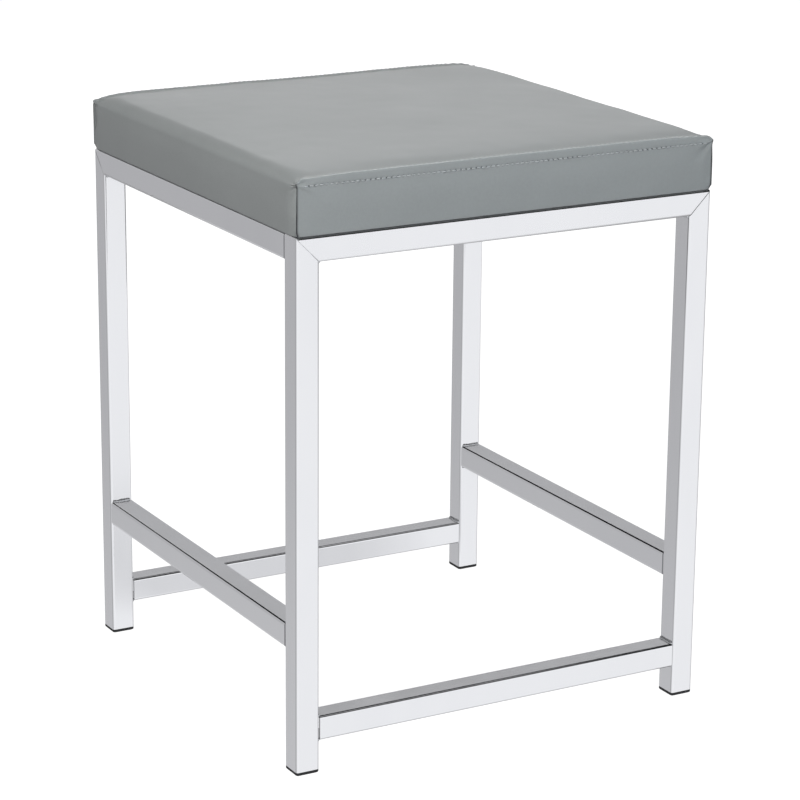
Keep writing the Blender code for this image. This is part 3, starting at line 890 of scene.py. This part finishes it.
    def join(self):
        """Numbers the points and makes the faces."""
        grid = np.arange(self.columns * self.rows).reshape(self.columns, self.rows)
        self.top_count = grid.size
        front, right, back, left = (self.sides[side] for side in ("front", "right", "back", "left"))
        loop = np.concatenate([front[:-1], right[:-1], back[:0:-1], left[:0:-1]])
        rim = np.concatenate([grid[:-1, 0], grid[-1, :-1], grid[:0:-1, -1], grid[0, :0:-1]])
        around = len(loop)
        index = grid.size + np.arange(self.lines * around).reshape(self.lines, around)
        self.loops = np.concatenate([rim[None], index])
        centre = grid.size + self.lines * around
        walls = loop.transpose(1, 0, 2).reshape(-1, 3)
        self.points = np.concatenate([self.top.reshape(-1, 3), walls, [[0.0, 0.0, FOAM_BOTTOM]]])
        after = np.roll(self.loops, -1, axis=1)
        top_faces = np.stack([grid[:-1, :-1], grid[1:, :-1], grid[1:, 1:], grid[:-1, 1:]], -1)
        wall_faces = np.stack([self.loops[:-1], self.loops[1:], after[1:], after[:-1]], -1)
        self.faces = [tuple(f) for part in (top_faces, wall_faces) for f in part.reshape(-1, 4)]
        self.faces += [(a, centre, b) for a, b in zip(self.loops[-1], after[-1])]
        starts = np.cumsum([0, self.columns - 1, self.rows - 1, self.columns - 1])
        self.columns_of = {
            "front": np.arange(starts[0], starts[1] + 1),
            "right": np.arange(starts[1], starts[2] + 1),
            "back": np.arange(starts[2], starts[3] + 1)[::-1],
            "left": np.append(np.arange(starts[3], around), 0)[::-1],
        }

    def line_of(self, side, line):
        """The numbers of the points along a side, from -half to half, on one of the lines round the seat."""
        return self.loops[line][self.columns_of[side]]


# Cloth simulation of the cover on a coarse copy of the pad

COARSE_STEP = 0.006
COARSE_EDGE = [SEWN_EDGE[0], (0.0003, 0.0022), (0.0, STITCH_DROP)]
COARSE_WALL_STEPS = 5
COARSE_TURN_STEPS = 2
CLOTH_FRAMES = 20
CLOTH_CAP = 0.0016
CLOTH_SINK = 0.0015
SINK_REACH = 0.3
HOLD_MARGIN = 0.0002
EDGE_HOLD = 0.8
CLOTH_SETTINGS = {
    "quality": 6, "mass": 0.25, "tension_stiffness": 25.0, "compression_stiffness": 25.0,
    "shear_stiffness": 10.0, "bending_stiffness": 2.0, "use_pressure": True, "uniform_pressure_force": 4.0,
}
SPREAD_REACH = 0.005
SPREAD_COUNT = 10
LEAST_WEIGHT = 1e-9


def held_shares(pad):
    """How firmly each point is held: fully on the board and in the corner seams, less on the sewn edges."""
    held = np.zeros(len(pad.points))
    held[pad.points[:, 2] < FOAM_BOTTOM + HOLD_MARGIN] = 1.0
    for side in ("front", "back"):
        row = pad.line_of(side, 0)
        held[row] = np.maximum(held[row], EDGE_HOLD)
        for line in range(len(pad.loops)):
            held[pad.line_of(side, line)[[0, -1]]] = 1.0
    return held


def swell_pad():
    """Where a coarse copy of the cover goes when it is blown up like a stuffed pad: (rest points, moves)."""
    marks = np.linspace(0.0, HALF_WIDTH, round(HALF_WIDTH / COARSE_STEP) + 1)
    pad = Pad(marks, marks, COARSE_EDGE, COARSE_WALL_STEPS, COARSE_TURN_STEPS)
    start = pad.points.copy()
    top = start[:pad.top_count]
    inside = 1 - np.maximum(np.abs(top[:, 0]) / HALF_WIDTH, np.abs(top[:, 1]) / HALF_DEPTH)
    top[:, 2] -= CLOTH_SINK * smooth_step(inside / SINK_REACH)
    holder = add_object("cover_blank", make_mesh("cover_blank", start, pad.faces))
    turn_out(holder.data)
    pins = holder.vertex_groups.new(name="pins")
    for number, weight in enumerate(held_shares(pad)):
        pins.add([number], float(weight), "REPLACE")
    cloth = holder.modifiers.new("cover", "CLOTH")
    for name, value in CLOTH_SETTINGS.items():
        setattr(cloth.settings, name, value)
    cloth.settings.vertex_group_mass = "pins"
    cloth.settings.effector_weights.gravity = 0.0
    cloth.point_cache.frame_start = 1
    cloth.point_cache.frame_end = CLOTH_FRAMES
    scene = bpy.context.scene
    for step in range(1, CLOTH_FRAMES + 1):
        scene.frame_set(step)
    swollen = bake(holder)
    scene.frame_set(1)
    moves = np.array([v.co for v in swollen.vertices]) - start
    bpy.data.meshes.remove(swollen)
    longest = np.linalg.norm(moves, axis=1).max()
    return pad.points, moves * CLOTH_CAP / max(longest, CLOTH_CAP)


def spread_moves(points, rest, moves):
    """The coarse cover's moves at other points, averaged over the nearest of its points."""
    tree = KDTree(len(rest))
    for number, point in enumerate(rest):
        tree.insert(point, number)
    tree.balance()
    result = np.zeros_like(points)
    for number, point in enumerate(points):
        found = tree.find_n(point, SPREAD_COUNT)
        weights = np.array([math.exp(-(far / SPREAD_REACH) ** 2) for _, _, far in found]) + LEAST_WEIGHT
        result[number] = weights @ moves[[index for _, index, _ in found]] / weights.sum()
    return result


# Cushion

MARKS_X = side_marks(HALF_WIDTH, fine=0.0003, even=0.0011, growth=1.16)
MARKS_Y = side_marks(HALF_DEPTH, fine=0.0003, even=0.0048, growth=1.11)

# Stitches along the ends, their holes as (line, depth, painted shade), and the beat that they give the edge
STITCH_STEPS = 4
STITCH_PITCH = STITCH_STEPS * (MARKS_X[-1] - MARKS_X[-2])
STITCH_MARGIN = 0.002
EVEN_STEP = 0.00099
HOLES = [(-1, 0.0002, 0.25), (0, 0.0006, 1.0), (1, 0.0002, 0.25)]
EDGE_BEAT = 0.0002
BEAT_SLOPE = 0.6
BEAT_LINES = 8
THREAD_RISE = 0.0003
THREAD_WIDTH = 0.00085
STITCH_LENGTH = 0.68
STITCH_SIDES = 7
STITCH_PROFILE = [
    (-0.5, 0.0), (-0.46, 0.55), (-0.28, 0.95), (0.0, 1.0), (0.28, 0.95), (0.46, 0.55), (0.5, 0.0),
]
STITCH_LOOK = {"turn": 0.05, "sizes": (0.92, 1.06), "seed": 5}


def normals_of(points, faces):
    mesh = make_mesh("normals", points, faces)
    found = np.zeros(len(points) * 3)
    mesh.vertex_normals.foreach_get("vector", found)
    bpy.data.meshes.remove(mesh)
    return found.reshape(-1, 3)


def swing(ring):
    """A wave's height over its distance: 0 at the knot, 1 at the ring, then fading."""
    return ring * np.exp(1 - ring)


def pucker(points):
    """Small folds and an ear round the knot at the top of each corner seam."""
    move = np.zeros(len(points))
    for side_x, side_y, turn in KNOTS:
        drop, rise = (FRONT_KNOT_DROP, FRONT_EAR) if side_y < 0 else (BACK_KNOT_DROP, BACK_EAR)
        knot = np.array([side_x * HALF_WIDTH, side_y * HALF_DEPTH, SEAM_Z - drop])
        axis = np.array([side_x, side_y, KNOT_LEAN])
        axis /= np.linalg.norm(axis)
        first = np.cross(axis, (0.0, 0.0, 1.0))
        first /= np.linalg.norm(first)
        second = np.cross(axis, first)
        offset = points - knot
        distance = np.linalg.norm(offset, axis=1)
        angle = np.arctan2(offset @ second, offset @ first)
        folds = np.cos(FOLD_COUNT * angle + FOLD_TURN * turn) * swing(distance / FOLD_REACH)
        creases = np.cos(CREASE_COUNT * angle + CREASE_TURN * turn + CREASE_START)
        creases = creases * swing(distance / CREASE_REACH)
        height = FOLD_HEIGHT * folds + CREASE_HEIGHT * creases + rise * bell(distance / EAR_WIDTH)
        move += np.where(distance < KNOT_REACH, height, 0.0)
    return move


def press_ears(points):
    """Presses the ears at the corners back to the seat's outline."""
    for axis, half, other, far in ((0, HALF_WIDTH, 1, HALF_DEPTH), (1, HALF_DEPTH, 0, HALF_WIDTH)):
        beyond = np.clip(np.abs(points[:, axis]) - half + EAR_MARGIN, 0.0, None)
        near = smooth_step(1 - (far - np.abs(points[:, other])) / EAR_REACH)
        points[:, axis] -= np.sign(points[:, axis]) * EAR_PRESS * beyond * near


def unevenness(points, amount, scale, seed):
    found = [noise.noise(Vector(p) * scale + Vector((seed, seed, seed))) for p in points]
    return amount * np.array(found)


def skin_shares(pad):
    """How far each point may move: all the way on the skin that shows, less and less round the lower edge."""
    shares = np.zeros(len(pad.points))
    shares[:pad.top_count] = 1.0
    shares[pad.loops[:pad.shown_lines + 1].ravel()] = 1.0
    for n in range(pad.turn_lines):
        shares[pad.loops[pad.shown_lines + 1 + n]] = 1 - (n + 1) / pad.turn_lines
    return shares


def stuffed_points(pad):
    """The pad's points with the cover swelled, uneven, drawn in at the hem and puckered at the corners."""
    points = pad.points.copy()
    shares = skin_shares(pad)
    rest, moves = swell_pad()
    near = np.nonzero(shares > 0)[0]
    points[near] += spread_moves(points[near], rest, moves) * shares[near, None]
    uneven = sum(unevenness(points, *waves) for waves in UNEVEN)
    calm = smooth_step((points[:, 2] - HEM_BOTTOM) / CALM_HEIGHT)
    across = (points[:, 0] + points[:, 1]) * math.tau / PULL_SPACING
    pulls = PULL_HEIGHT * np.cos(across) * (1 - calm)
    rise = (uneven * calm + pulls + pucker(points)) * shares
    points += normals_of(points, pad.faces) * rise[:, None]
    press_ears(points)
    return points


def seam_shades(pad):
    """How dark the painted shade is at each point in the corner seams and round the hem, from 0 to 1."""
    rim = 1 - smooth_step((pad.from_corner_x - SEAM_RIM) / SEAM_RIM_FADE)
    end_shade = np.where(pad.from_corner_x < SEAM_FLANK, SEAM_SHADE, rim)
    side_shade = SEAM_SHADE * bell(pad.from_corner_y / SEAM_SIDE_FADE)
    by_side = {"front": end_shade, "back": end_shade, "left": side_shade, "right": side_shade}
    shades = np.zeros(len(pad.points))
    for side, shade in by_side.items():
        for line in range(2, pad.shown_lines + pad.turn_lines):
            row = pad.line_of(side, line)
            least = HEM_SHADE if line > pad.shown_lines + 1 else 0.0
            shades[row] = np.maximum(shades[row], np.maximum(shade, least))
    return shades


def punch_stitches(pad, points, shades, side):
    """Draws the edge in at the stitches of an end, punches their holes with painted shade in them and gives
    the thread's line.
    """
    sign = -1 if side == "front" else 1
    corner = pad.from_corner_x
    steps = np.arange(len(corner)) - len(corner) // 2
    even = corner > MARKS_X[np.argmax(np.diff(MARKS_X) > EVEN_STEP)] + STITCH_MARGIN
    beat = EDGE_BEAT * (1 + BEAT_SLOPE * pad.place_x / HALF_WIDTH)
    beat = beat * np.cos(math.tau * steps / STITCH_STEPS) * even
    for line in range(1, BEAT_LINES):
        points[pad.line_of(side, line), 2] -= beat * math.sin(math.pi * line / BEAT_LINES)
    hole = (steps % STITCH_STEPS == 0) & even
    for line, depth, shade in HOLES:
        row = pad.line_of(side, STITCH_LINE + line)[hole]
        points[row, 1] -= sign * depth
        # Painted shade in the stitch holes.
        shades[row] = shade
    between = np.nonzero((steps % STITCH_STEPS == STITCH_STEPS // 2) & even)[0]
    thread = points[pad.line_of(side, STITCH_LINE)[between[0]:between[-1] + 1]]
    thread[:, 1] += sign * THREAD_RISE
    return thread


def build_seat():
    pad = Pad(MARKS_X, MARKS_Y, SEWN_EDGE, WALL_STEPS, TURN_STEPS)
    points = stuffed_points(pad)
    shades = seam_shades(pad)
    threads = {side: punch_stitches(pad, points, shades, side) for side in ("front", "back")}
    mesh = make_mesh("seat_cushion", points, pad.faces)
    # The crease attribute carries the painted shade of the seams, the hem and the stitch holes.
    mesh.attributes.new("crease", "FLOAT", "POINT").data.foreach_set("value", shades)
    turn_out(mesh)
    mesh.shade_smooth()
    stands_for = ["seat_foam", "seat_cover_main_panel", "seat_cover_front_panel", "seat_cover_back_panel"]
    cushion = add_piece("seat_cushion", mesh, VINYL, stands_for)
    return cushion, threads


def sew_edges(threads):
    length = STITCH_PITCH * STITCH_LENGTH
    for side, thread in threads.items():
        profile = [(length * x, THREAD_WIDTH / 2 * r) for x, r in STITCH_PROFILE]
        shape = turned_shape("stitch", profile, STITCH_SIDES)
        mesh = set_along([thread], shape, THREAD, STITCH_PITCH, **STITCH_LOOK)
        add_piece(f"{side}_edge_stitches", mesh, THREAD)


CUSHION, STITCH_THREADS = build_seat()
sew_edges(STITCH_THREADS)


# Dust cover under the seat

DUST_CELLS = 72
DUST_THICKNESS = 0.0003
DUST_GAP = 0.0003
DUST_SAG = 0.0016
SAG_START = 0.012
SAG_RUN = 0.10
RIPPLE_HEIGHT = 0.00015
RIPPLE_PLACE = 0.010
DUST_UNEVEN = 0.0003
DUST_WAVES = 24
CALM_EDGE = 0.03
PLATE_CLEAR = 0.062
PLATE_BLEND = 0.05
HOLE_RADIUS = 0.0046
HOLE_REACH = 0.006
HOLE_SIDES = 24
DUST_SHARP_TURN = math.radians(45)

STAPLE_INSET = 0.0065
STAPLE_SPACING = 0.034
STAPLE_CLEAR = 0.006
STAPLE_SET = 0.00005
STAPLE_CROWN = 0.0100
STAPLE_LEG = 0.0035
STAPLE_BEND = (0.0006, 0.0007)
STAPLE_WIDTH = 0.0011
STAPLE_THICKNESS = 0.0005
STAPLE_MIDDLE = 0.004
STAPLE_LOOK = {"turn": 0.03, "sizes": (0.97, 1.03), "seed": 3}


def dust_height(x, y):
    """The cloth's height at a place: slack in the middle, rippled by the staples, flat by the plates."""
    half = DUST_HIGH.x
    edge = half - max(abs(x), abs(y))
    slack = DUST_SAG * smooth_step((edge - SAG_START) / SAG_RUN)
    along = y if abs(x) > abs(y) else x
    ripple = RIPPLE_HEIGHT * math.cos(along * math.tau / STAPLE_SPACING)
    ripple = ripple * bell((edge - RIPPLE_PLACE) / RIPPLE_PLACE)
    uneven = DUST_UNEVEN * noise.noise(Vector((x, y, 0.0)) * DUST_WAVES) * min(edge / CALM_EDGE, 1)
    clear = smooth_step((2 * half - abs(x) - abs(y) - PLATE_CLEAR) / PLATE_BLEND)
    return DUST_HIGH.z - DUST_GAP - (slack + ripple + uneven) * clear


def bolt_hole_plug(side_x, side_y):
    profile = [(-HOLE_REACH, 0.0), (-HOLE_REACH, HOLE_RADIUS), (HOLE_REACH, HOLE_RADIUS), (HOLE_REACH, 0.0)]
    plug = turned_shape("bolt_hole", profile, HOLE_SIDES)
    centre = (abs(BOLT_PLACE.x) * side_x, abs(BOLT_PLACE.y) * side_y, DUST_LOW.z)
    plug.transform(Matrix.Translation(centre) @ Matrix.Rotation(math.pi / 2, 4, "Y"))
    return add_object("bolt_hole", plug)


def build_dust_cover():
    """Thin black cloth under the board, a little slack in the middle and puckered at the staples."""
    half = DUST_HIGH.x
    marks = [half * (2 * n / DUST_CELLS - 1) for n in range(DUST_CELLS + 1)]
    points = [(x, y, dust_height(x, y)) for x in marks for y in marks]
    faces = []
    for i in range(DUST_CELLS):
        for j in range(DUST_CELLS):
            a = i * (DUST_CELLS + 1) + j
            faces.append((a, a + 1, a + DUST_CELLS + 2, a + DUST_CELLS + 1))
    holder = add_object("dust_cloth_blank", make_mesh("dust_cloth_blank", points, faces))
    thick = holder.modifiers.new("thickness", "SOLIDIFY")
    thick.thickness = DUST_THICKNESS
    thick.offset = 0.0
    plugs = [bolt_hole_plug(side_x, side_y) for side_x, side_y in CORNERS]
    for plug in plugs:
        cut = holder.modifiers.new("bolt_hole", "BOOLEAN")
        cut.operation = "DIFFERENCE"
        cut.solver = "EXACT"
        cut.object = plug
    mesh = bake(holder)
    for plug in plugs:
        bpy.data.objects.remove(plug, do_unlink=True)
    mesh.shade_smooth()
    mesh.set_sharp_from_angle(angle=DUST_SHARP_TURN)
    cover = add_piece("dust_cover_cloth", mesh, DUST_CLOTH, ["dust_cover"])


def staple_shape():
    """A staple with its crown along X and its legs up into the board."""
    end = -STAPLE_CROWN / 2
    bend_x, bend_z = STAPLE_BEND
    path = [(end, STAPLE_LEG), (end, bend_z), (end + bend_x, 0.0)]
    path += [(-x, z) for x, z in reversed(path)]
    points, faces = [], []
    for x, z in path:
        out = Vector((x, 0.0, z - STAPLE_MIDDLE)).normalized() * STAPLE_THICKNESS
        for y in (-STAPLE_WIDTH / 2, STAPLE_WIDTH / 2):
            points.append((x, y, z))
            points.append((x + out.x, y, z + out.z))
    for n in range(len(path) - 1):
        a, b = 4 * n, 4 * (n + 1)
        for one, two in ((0, 1), (1, 3), (3, 2), (2, 0)):
            faces.append((a + one, a + two, b + two, b + one))
    last = 4 * (len(path) - 1)
    faces += [(0, 1, 3, 2), (last, last + 1, last + 3, last + 2)]
    mesh = make_mesh("staple", points, faces)
    turn_out(mesh)
    return mesh


def staple_cover():
    reach = DUST_HIGH.x - STAPLE_INSET
    z = DUST_LOW.z + STAPLE_SET
    room = 2 * (INNER_X - PLATE_SIDE - STAPLE_CLEAR)
    span = int(room / STAPLE_SPACING) * STAPLE_SPACING / 2
    rows = [[(-span, y, z), (span, y, z)] for y in (-reach, reach)]
    rows += [[(x, -span, z), (x, span, z)] for x in (-reach, reach)]
    mesh = set_along(rows, staple_shape(), ZINC, STAPLE_SPACING, **STAPLE_LOOK)
    mesh.set_sharp_from_angle(angle=SHARP_TURN)
    add_piece("dust_cover_staples", mesh, ZINC)


build_dust_cover()
staple_cover()


# Studio

FLOOR_HALF = 14.0
FLOOR_PAPER = (0.24, 0.24, 0.24, 1.0)
FLOOR_GLOW = 0.96
SHADE_HALF = 0.20
SHADE_HEIGHT = 0.0005
SHADE_GREY = (0.48, 0.48, 0.50, 1.0)
SHADE_SCALE = (5.0, 5.0, 5.0)
SHADE_RIM = 0.35
SHADE_STRENGTH = 0.45

# Sky that the chrome mirrors: the grey at its middle, then bands that blend in one after the other,
# as (axis of the direction, where a band begins, where it is full, its colour)
SKY_GREY = (0.445, 0.445, 0.460)
SKY_BANDS = [
    ("Z", -0.27, -0.38, (0.56, 0.56, 0.575)),
    ("Z", 0.24, 0.36, (0.475, 0.475, 0.490)),
    ("Z", 0.385, 0.400, (0.80, 0.80, 0.81)),
    ("Y", 0.74, 0.50, (0.37, 0.37, 0.38)),
    ("Y", 0.35, -0.74, (0.905, 0.91, 0.93)),
    ("Z", 0.425, 0.445, (0.010, 0.010, 0.011)),
    ("Z", 0.845, 0.875, (0.55, 0.55, 0.56)),
]
BACKDROP = (0.92, 0.92, 0.92)
SKY_ON_CLOTH = 0.4

# Lamps: name, place, target, size, watts and colour
WHITE = (1.0, 1.0, 1.0)
SEAT_SPOT = (0.0, 0.0, 0.4)
SOFT_LAMPS = [
    ("key", (0.4, -0.7, 5.0), SEAT_SPOT, 1.4, 44.0, WHITE),
    ("left_fill", (-1.24, -1.28, 1.40), (0.0, -0.10, 0.4), 0.8, 26.5, WHITE),
    ("front_fill", (1.3, -2.7, 1.2), SEAT_SPOT, 1.2, 12.5, (0.60, 0.80, 1.0)),
    ("back_fill", (0.9, 2.9, 1.3), SEAT_SPOT, 1.4, 22.0, WHITE),
]

# Lamps that only give the vinyl its shine
SHINE_LAMPS = [
    ("sheen", (1.65, -0.1, 3.45), SEAT_SPOT, 1.5, 84.0, WHITE),
    ("gloss", (1.17, 2.09, 1.165), (0.0, 0.0, 0.45), 1.2, 3.4, WHITE),
]

# Camera, from a fit to the frame's corners in the photograph
CAMERA_YAW = math.radians(29.314)
CAMERA_PITCH = math.radians(16.495)
CAMERA_ROLL = math.radians(0.528)
CAMERA_TARGET = Vector((0.0, 0.0, 0.230))
TARGET_RIGHT, TARGET_DOWN, TARGET_AHEAD = -0.0064, -0.0074, 2.34637
SENSOR_WIDTH = 36.0
FOCAL_PIXELS = 2920.12
PICTURE_PIXELS = 800.0


def bare_material(name):
    """A material for the studio, and its nodes, of which there are none yet."""
    material = bpy.data.materials.new(name)
    material.use_nodes = True
    material.node_tree.nodes.clear()
    return material, Nodes(material.node_tree)


def floor_finish():
    """Pale sweep paper that glows a little, so that shadows on it stay soft; it is clear from below."""
    material, nodes = bare_material("floor_paper")
    paper = nodes.node("ShaderNodeBsdfDiffuse", {"Color": FLOOR_PAPER}).outputs[0]
    glow = nodes.node("ShaderNodeEmission", {"Strength": FLOOR_GLOW}).outputs[0]
    both = nodes.node("ShaderNodeAddShader", {0: paper, 1: glow}).outputs[0]
    clear = nodes.node("ShaderNodeBsdfTransparent").outputs[0]
    below = nodes.node("ShaderNodeNewGeometry").outputs["Backfacing"]
    seen = nodes.node("ShaderNodeMixShader", {0: below, 1: both, 2: clear}).outputs[0]
    nodes.node("ShaderNodeOutputMaterial", {"Surface": seen})
    return material


def shade_finish():
    """The shade under the stool, as the low tubes mirror it: half clear, fading out at its rim."""
    material, nodes = bare_material("shade_under_stool")
    place = nodes.node("ShaderNodeTexCoord").outputs["Object"]
    wide = nodes.node("ShaderNodeMapping", {"Vector": place, "Scale": SHADE_SCALE}).outputs[0]
    ball = nodes.node("ShaderNodeTexGradient", {"Vector": wide}, gradient_type="SPHERICAL").outputs["Fac"]
    fading = {"Value": ball, "From Max": SHADE_RIM, "To Max": SHADE_STRENGTH}
    share = nodes.node("ShaderNodeMapRange", fading).outputs["Result"]
    clear = nodes.node("ShaderNodeBsdfTransparent").outputs[0]
    dim = nodes.node("ShaderNodeEmission", {"Color": SHADE_GREY}).outputs[0]
    seen = nodes.node("ShaderNodeMixShader", {0: share, 1: clear, 2: dim}).outputs[0]
    nodes.node("ShaderNodeOutputMaterial", {"Surface": seen})
    return material


def flat_card(name, half, z, material):
    corners = [(-half, -half, z), (half, -half, z), (half, half, z), (-half, half, z)]
    mesh = make_mesh(name, corners, [(0, 1, 2, 3)])
    mesh.materials.append(material)
    card = add_object(name, mesh)
    return card


def lay_floor():
    floor = flat_card("floor", FLOOR_HALF, 0.0, floor_finish())
    floor.visible_glossy = False
    floor.visible_diffuse = False
    shade = flat_card("shade", SHADE_HALF, SHADE_HEIGHT, shade_finish())
    shade.visible_camera = False
    shade.visible_diffuse = False
    shade.visible_shadow = False


def build_sky():
    """Bands of grey for the chrome to mirror, dimmer on matt surfaces, and a plain pale backdrop."""
    world = bpy.data.worlds.new("studio")
    bpy.context.scene.world = world
    world.use_nodes = True
    world.node_tree.nodes.clear()
    nodes = Nodes(world.node_tree)
    direction = nodes.node("ShaderNodeTexCoord").outputs["Generated"]
    axes = nodes.node("ShaderNodeSeparateXYZ", {0: direction}).outputs
    sky = SKY_GREY
    for axis, start, full, colour in SKY_BANDS:
        limits = {"Value": axes[axis], "From Min": start, "From Max": full}
        share = nodes.node("ShaderNodeMapRange", limits, interpolation_type="SMOOTHSTEP")
        sky = nodes.blend(share.outputs["Result"], sky, colour)
    rays = nodes.node("ShaderNodeLightPath").outputs
    seen = nodes.blend(rays["Is Camera Ray"], sky, BACKDROP)
    dimming = {"Value": rays["Is Diffuse Ray"], "To Min": 1.0, "To Max": SKY_ON_CLOTH}
    strength = nodes.node("ShaderNodeMapRange", dimming).outputs["Result"]
    back = nodes.node("ShaderNodeBackground", {"Color": seen, "Strength": strength})
    nodes.node("ShaderNodeOutputWorld", {"Surface": back.outputs[0]})


def add_lamp(name, place, target, size, watts, colour):
    lamp = bpy.data.lights.new(name, "AREA")
    lamp.color = colour
    lamp.shape = "SQUARE"
    lamp.size = size
    lamp.energy = watts
    light = add_object(name, lamp)
    light.location = place
    light.rotation_euler = (Vector(target) - Vector(place)).to_track_quat("-Z", "Y").to_euler()
    light.visible_camera = False
    return light


def light_stool():
    for lamp in SOFT_LAMPS:
        add_lamp(*lamp).visible_glossy = False
    shiny = bpy.data.collections.new("lit_by_sheen")
    shiny.objects.link(CUSHION)
    for lamp in SHINE_LAMPS:
        light = add_lamp(*lamp)
        light.visible_diffuse = False
        light.light_linking.receiver_collection = shiny


def aim_camera():
    """A long lens on the front left, as in the photograph."""
    right = Vector((math.cos(CAMERA_YAW), -math.sin(CAMERA_YAW), 0.0))
    level = Vector((math.sin(CAMERA_YAW), math.cos(CAMERA_YAW), 0.0))
    ahead = level * math.cos(CAMERA_PITCH) - Vector((0.0, 0.0, math.sin(CAMERA_PITCH)))
    down = ahead.cross(right)
    rolled_right = right * math.cos(CAMERA_ROLL) - down * math.sin(CAMERA_ROLL)
    rolled_down = right * math.sin(CAMERA_ROLL) + down * math.cos(CAMERA_ROLL)
    place = CAMERA_TARGET - rolled_right * TARGET_RIGHT - rolled_down * TARGET_DOWN - ahead * TARGET_AHEAD
    lens = bpy.data.cameras.new("camera")
    lens.sensor_width = SENSOR_WIDTH
    lens.lens = SENSOR_WIDTH * FOCAL_PIXELS / PICTURE_PIXELS
    lens.clip_start = 0.01
    lens.clip_end = 100.0
    camera = add_object("camera", lens)
    axes = Matrix((rolled_right, -rolled_down, -ahead)).transposed()
    camera.matrix_world = Matrix.Translation(place) @ axes.to_4x4()
    bpy.context.scene.camera = camera


lay_floor()
build_sky()
light_stool()
aim_camera()
bpy.context.scene.view_settings.view_transform = "Standard"
bpy.context.view_layer.update()
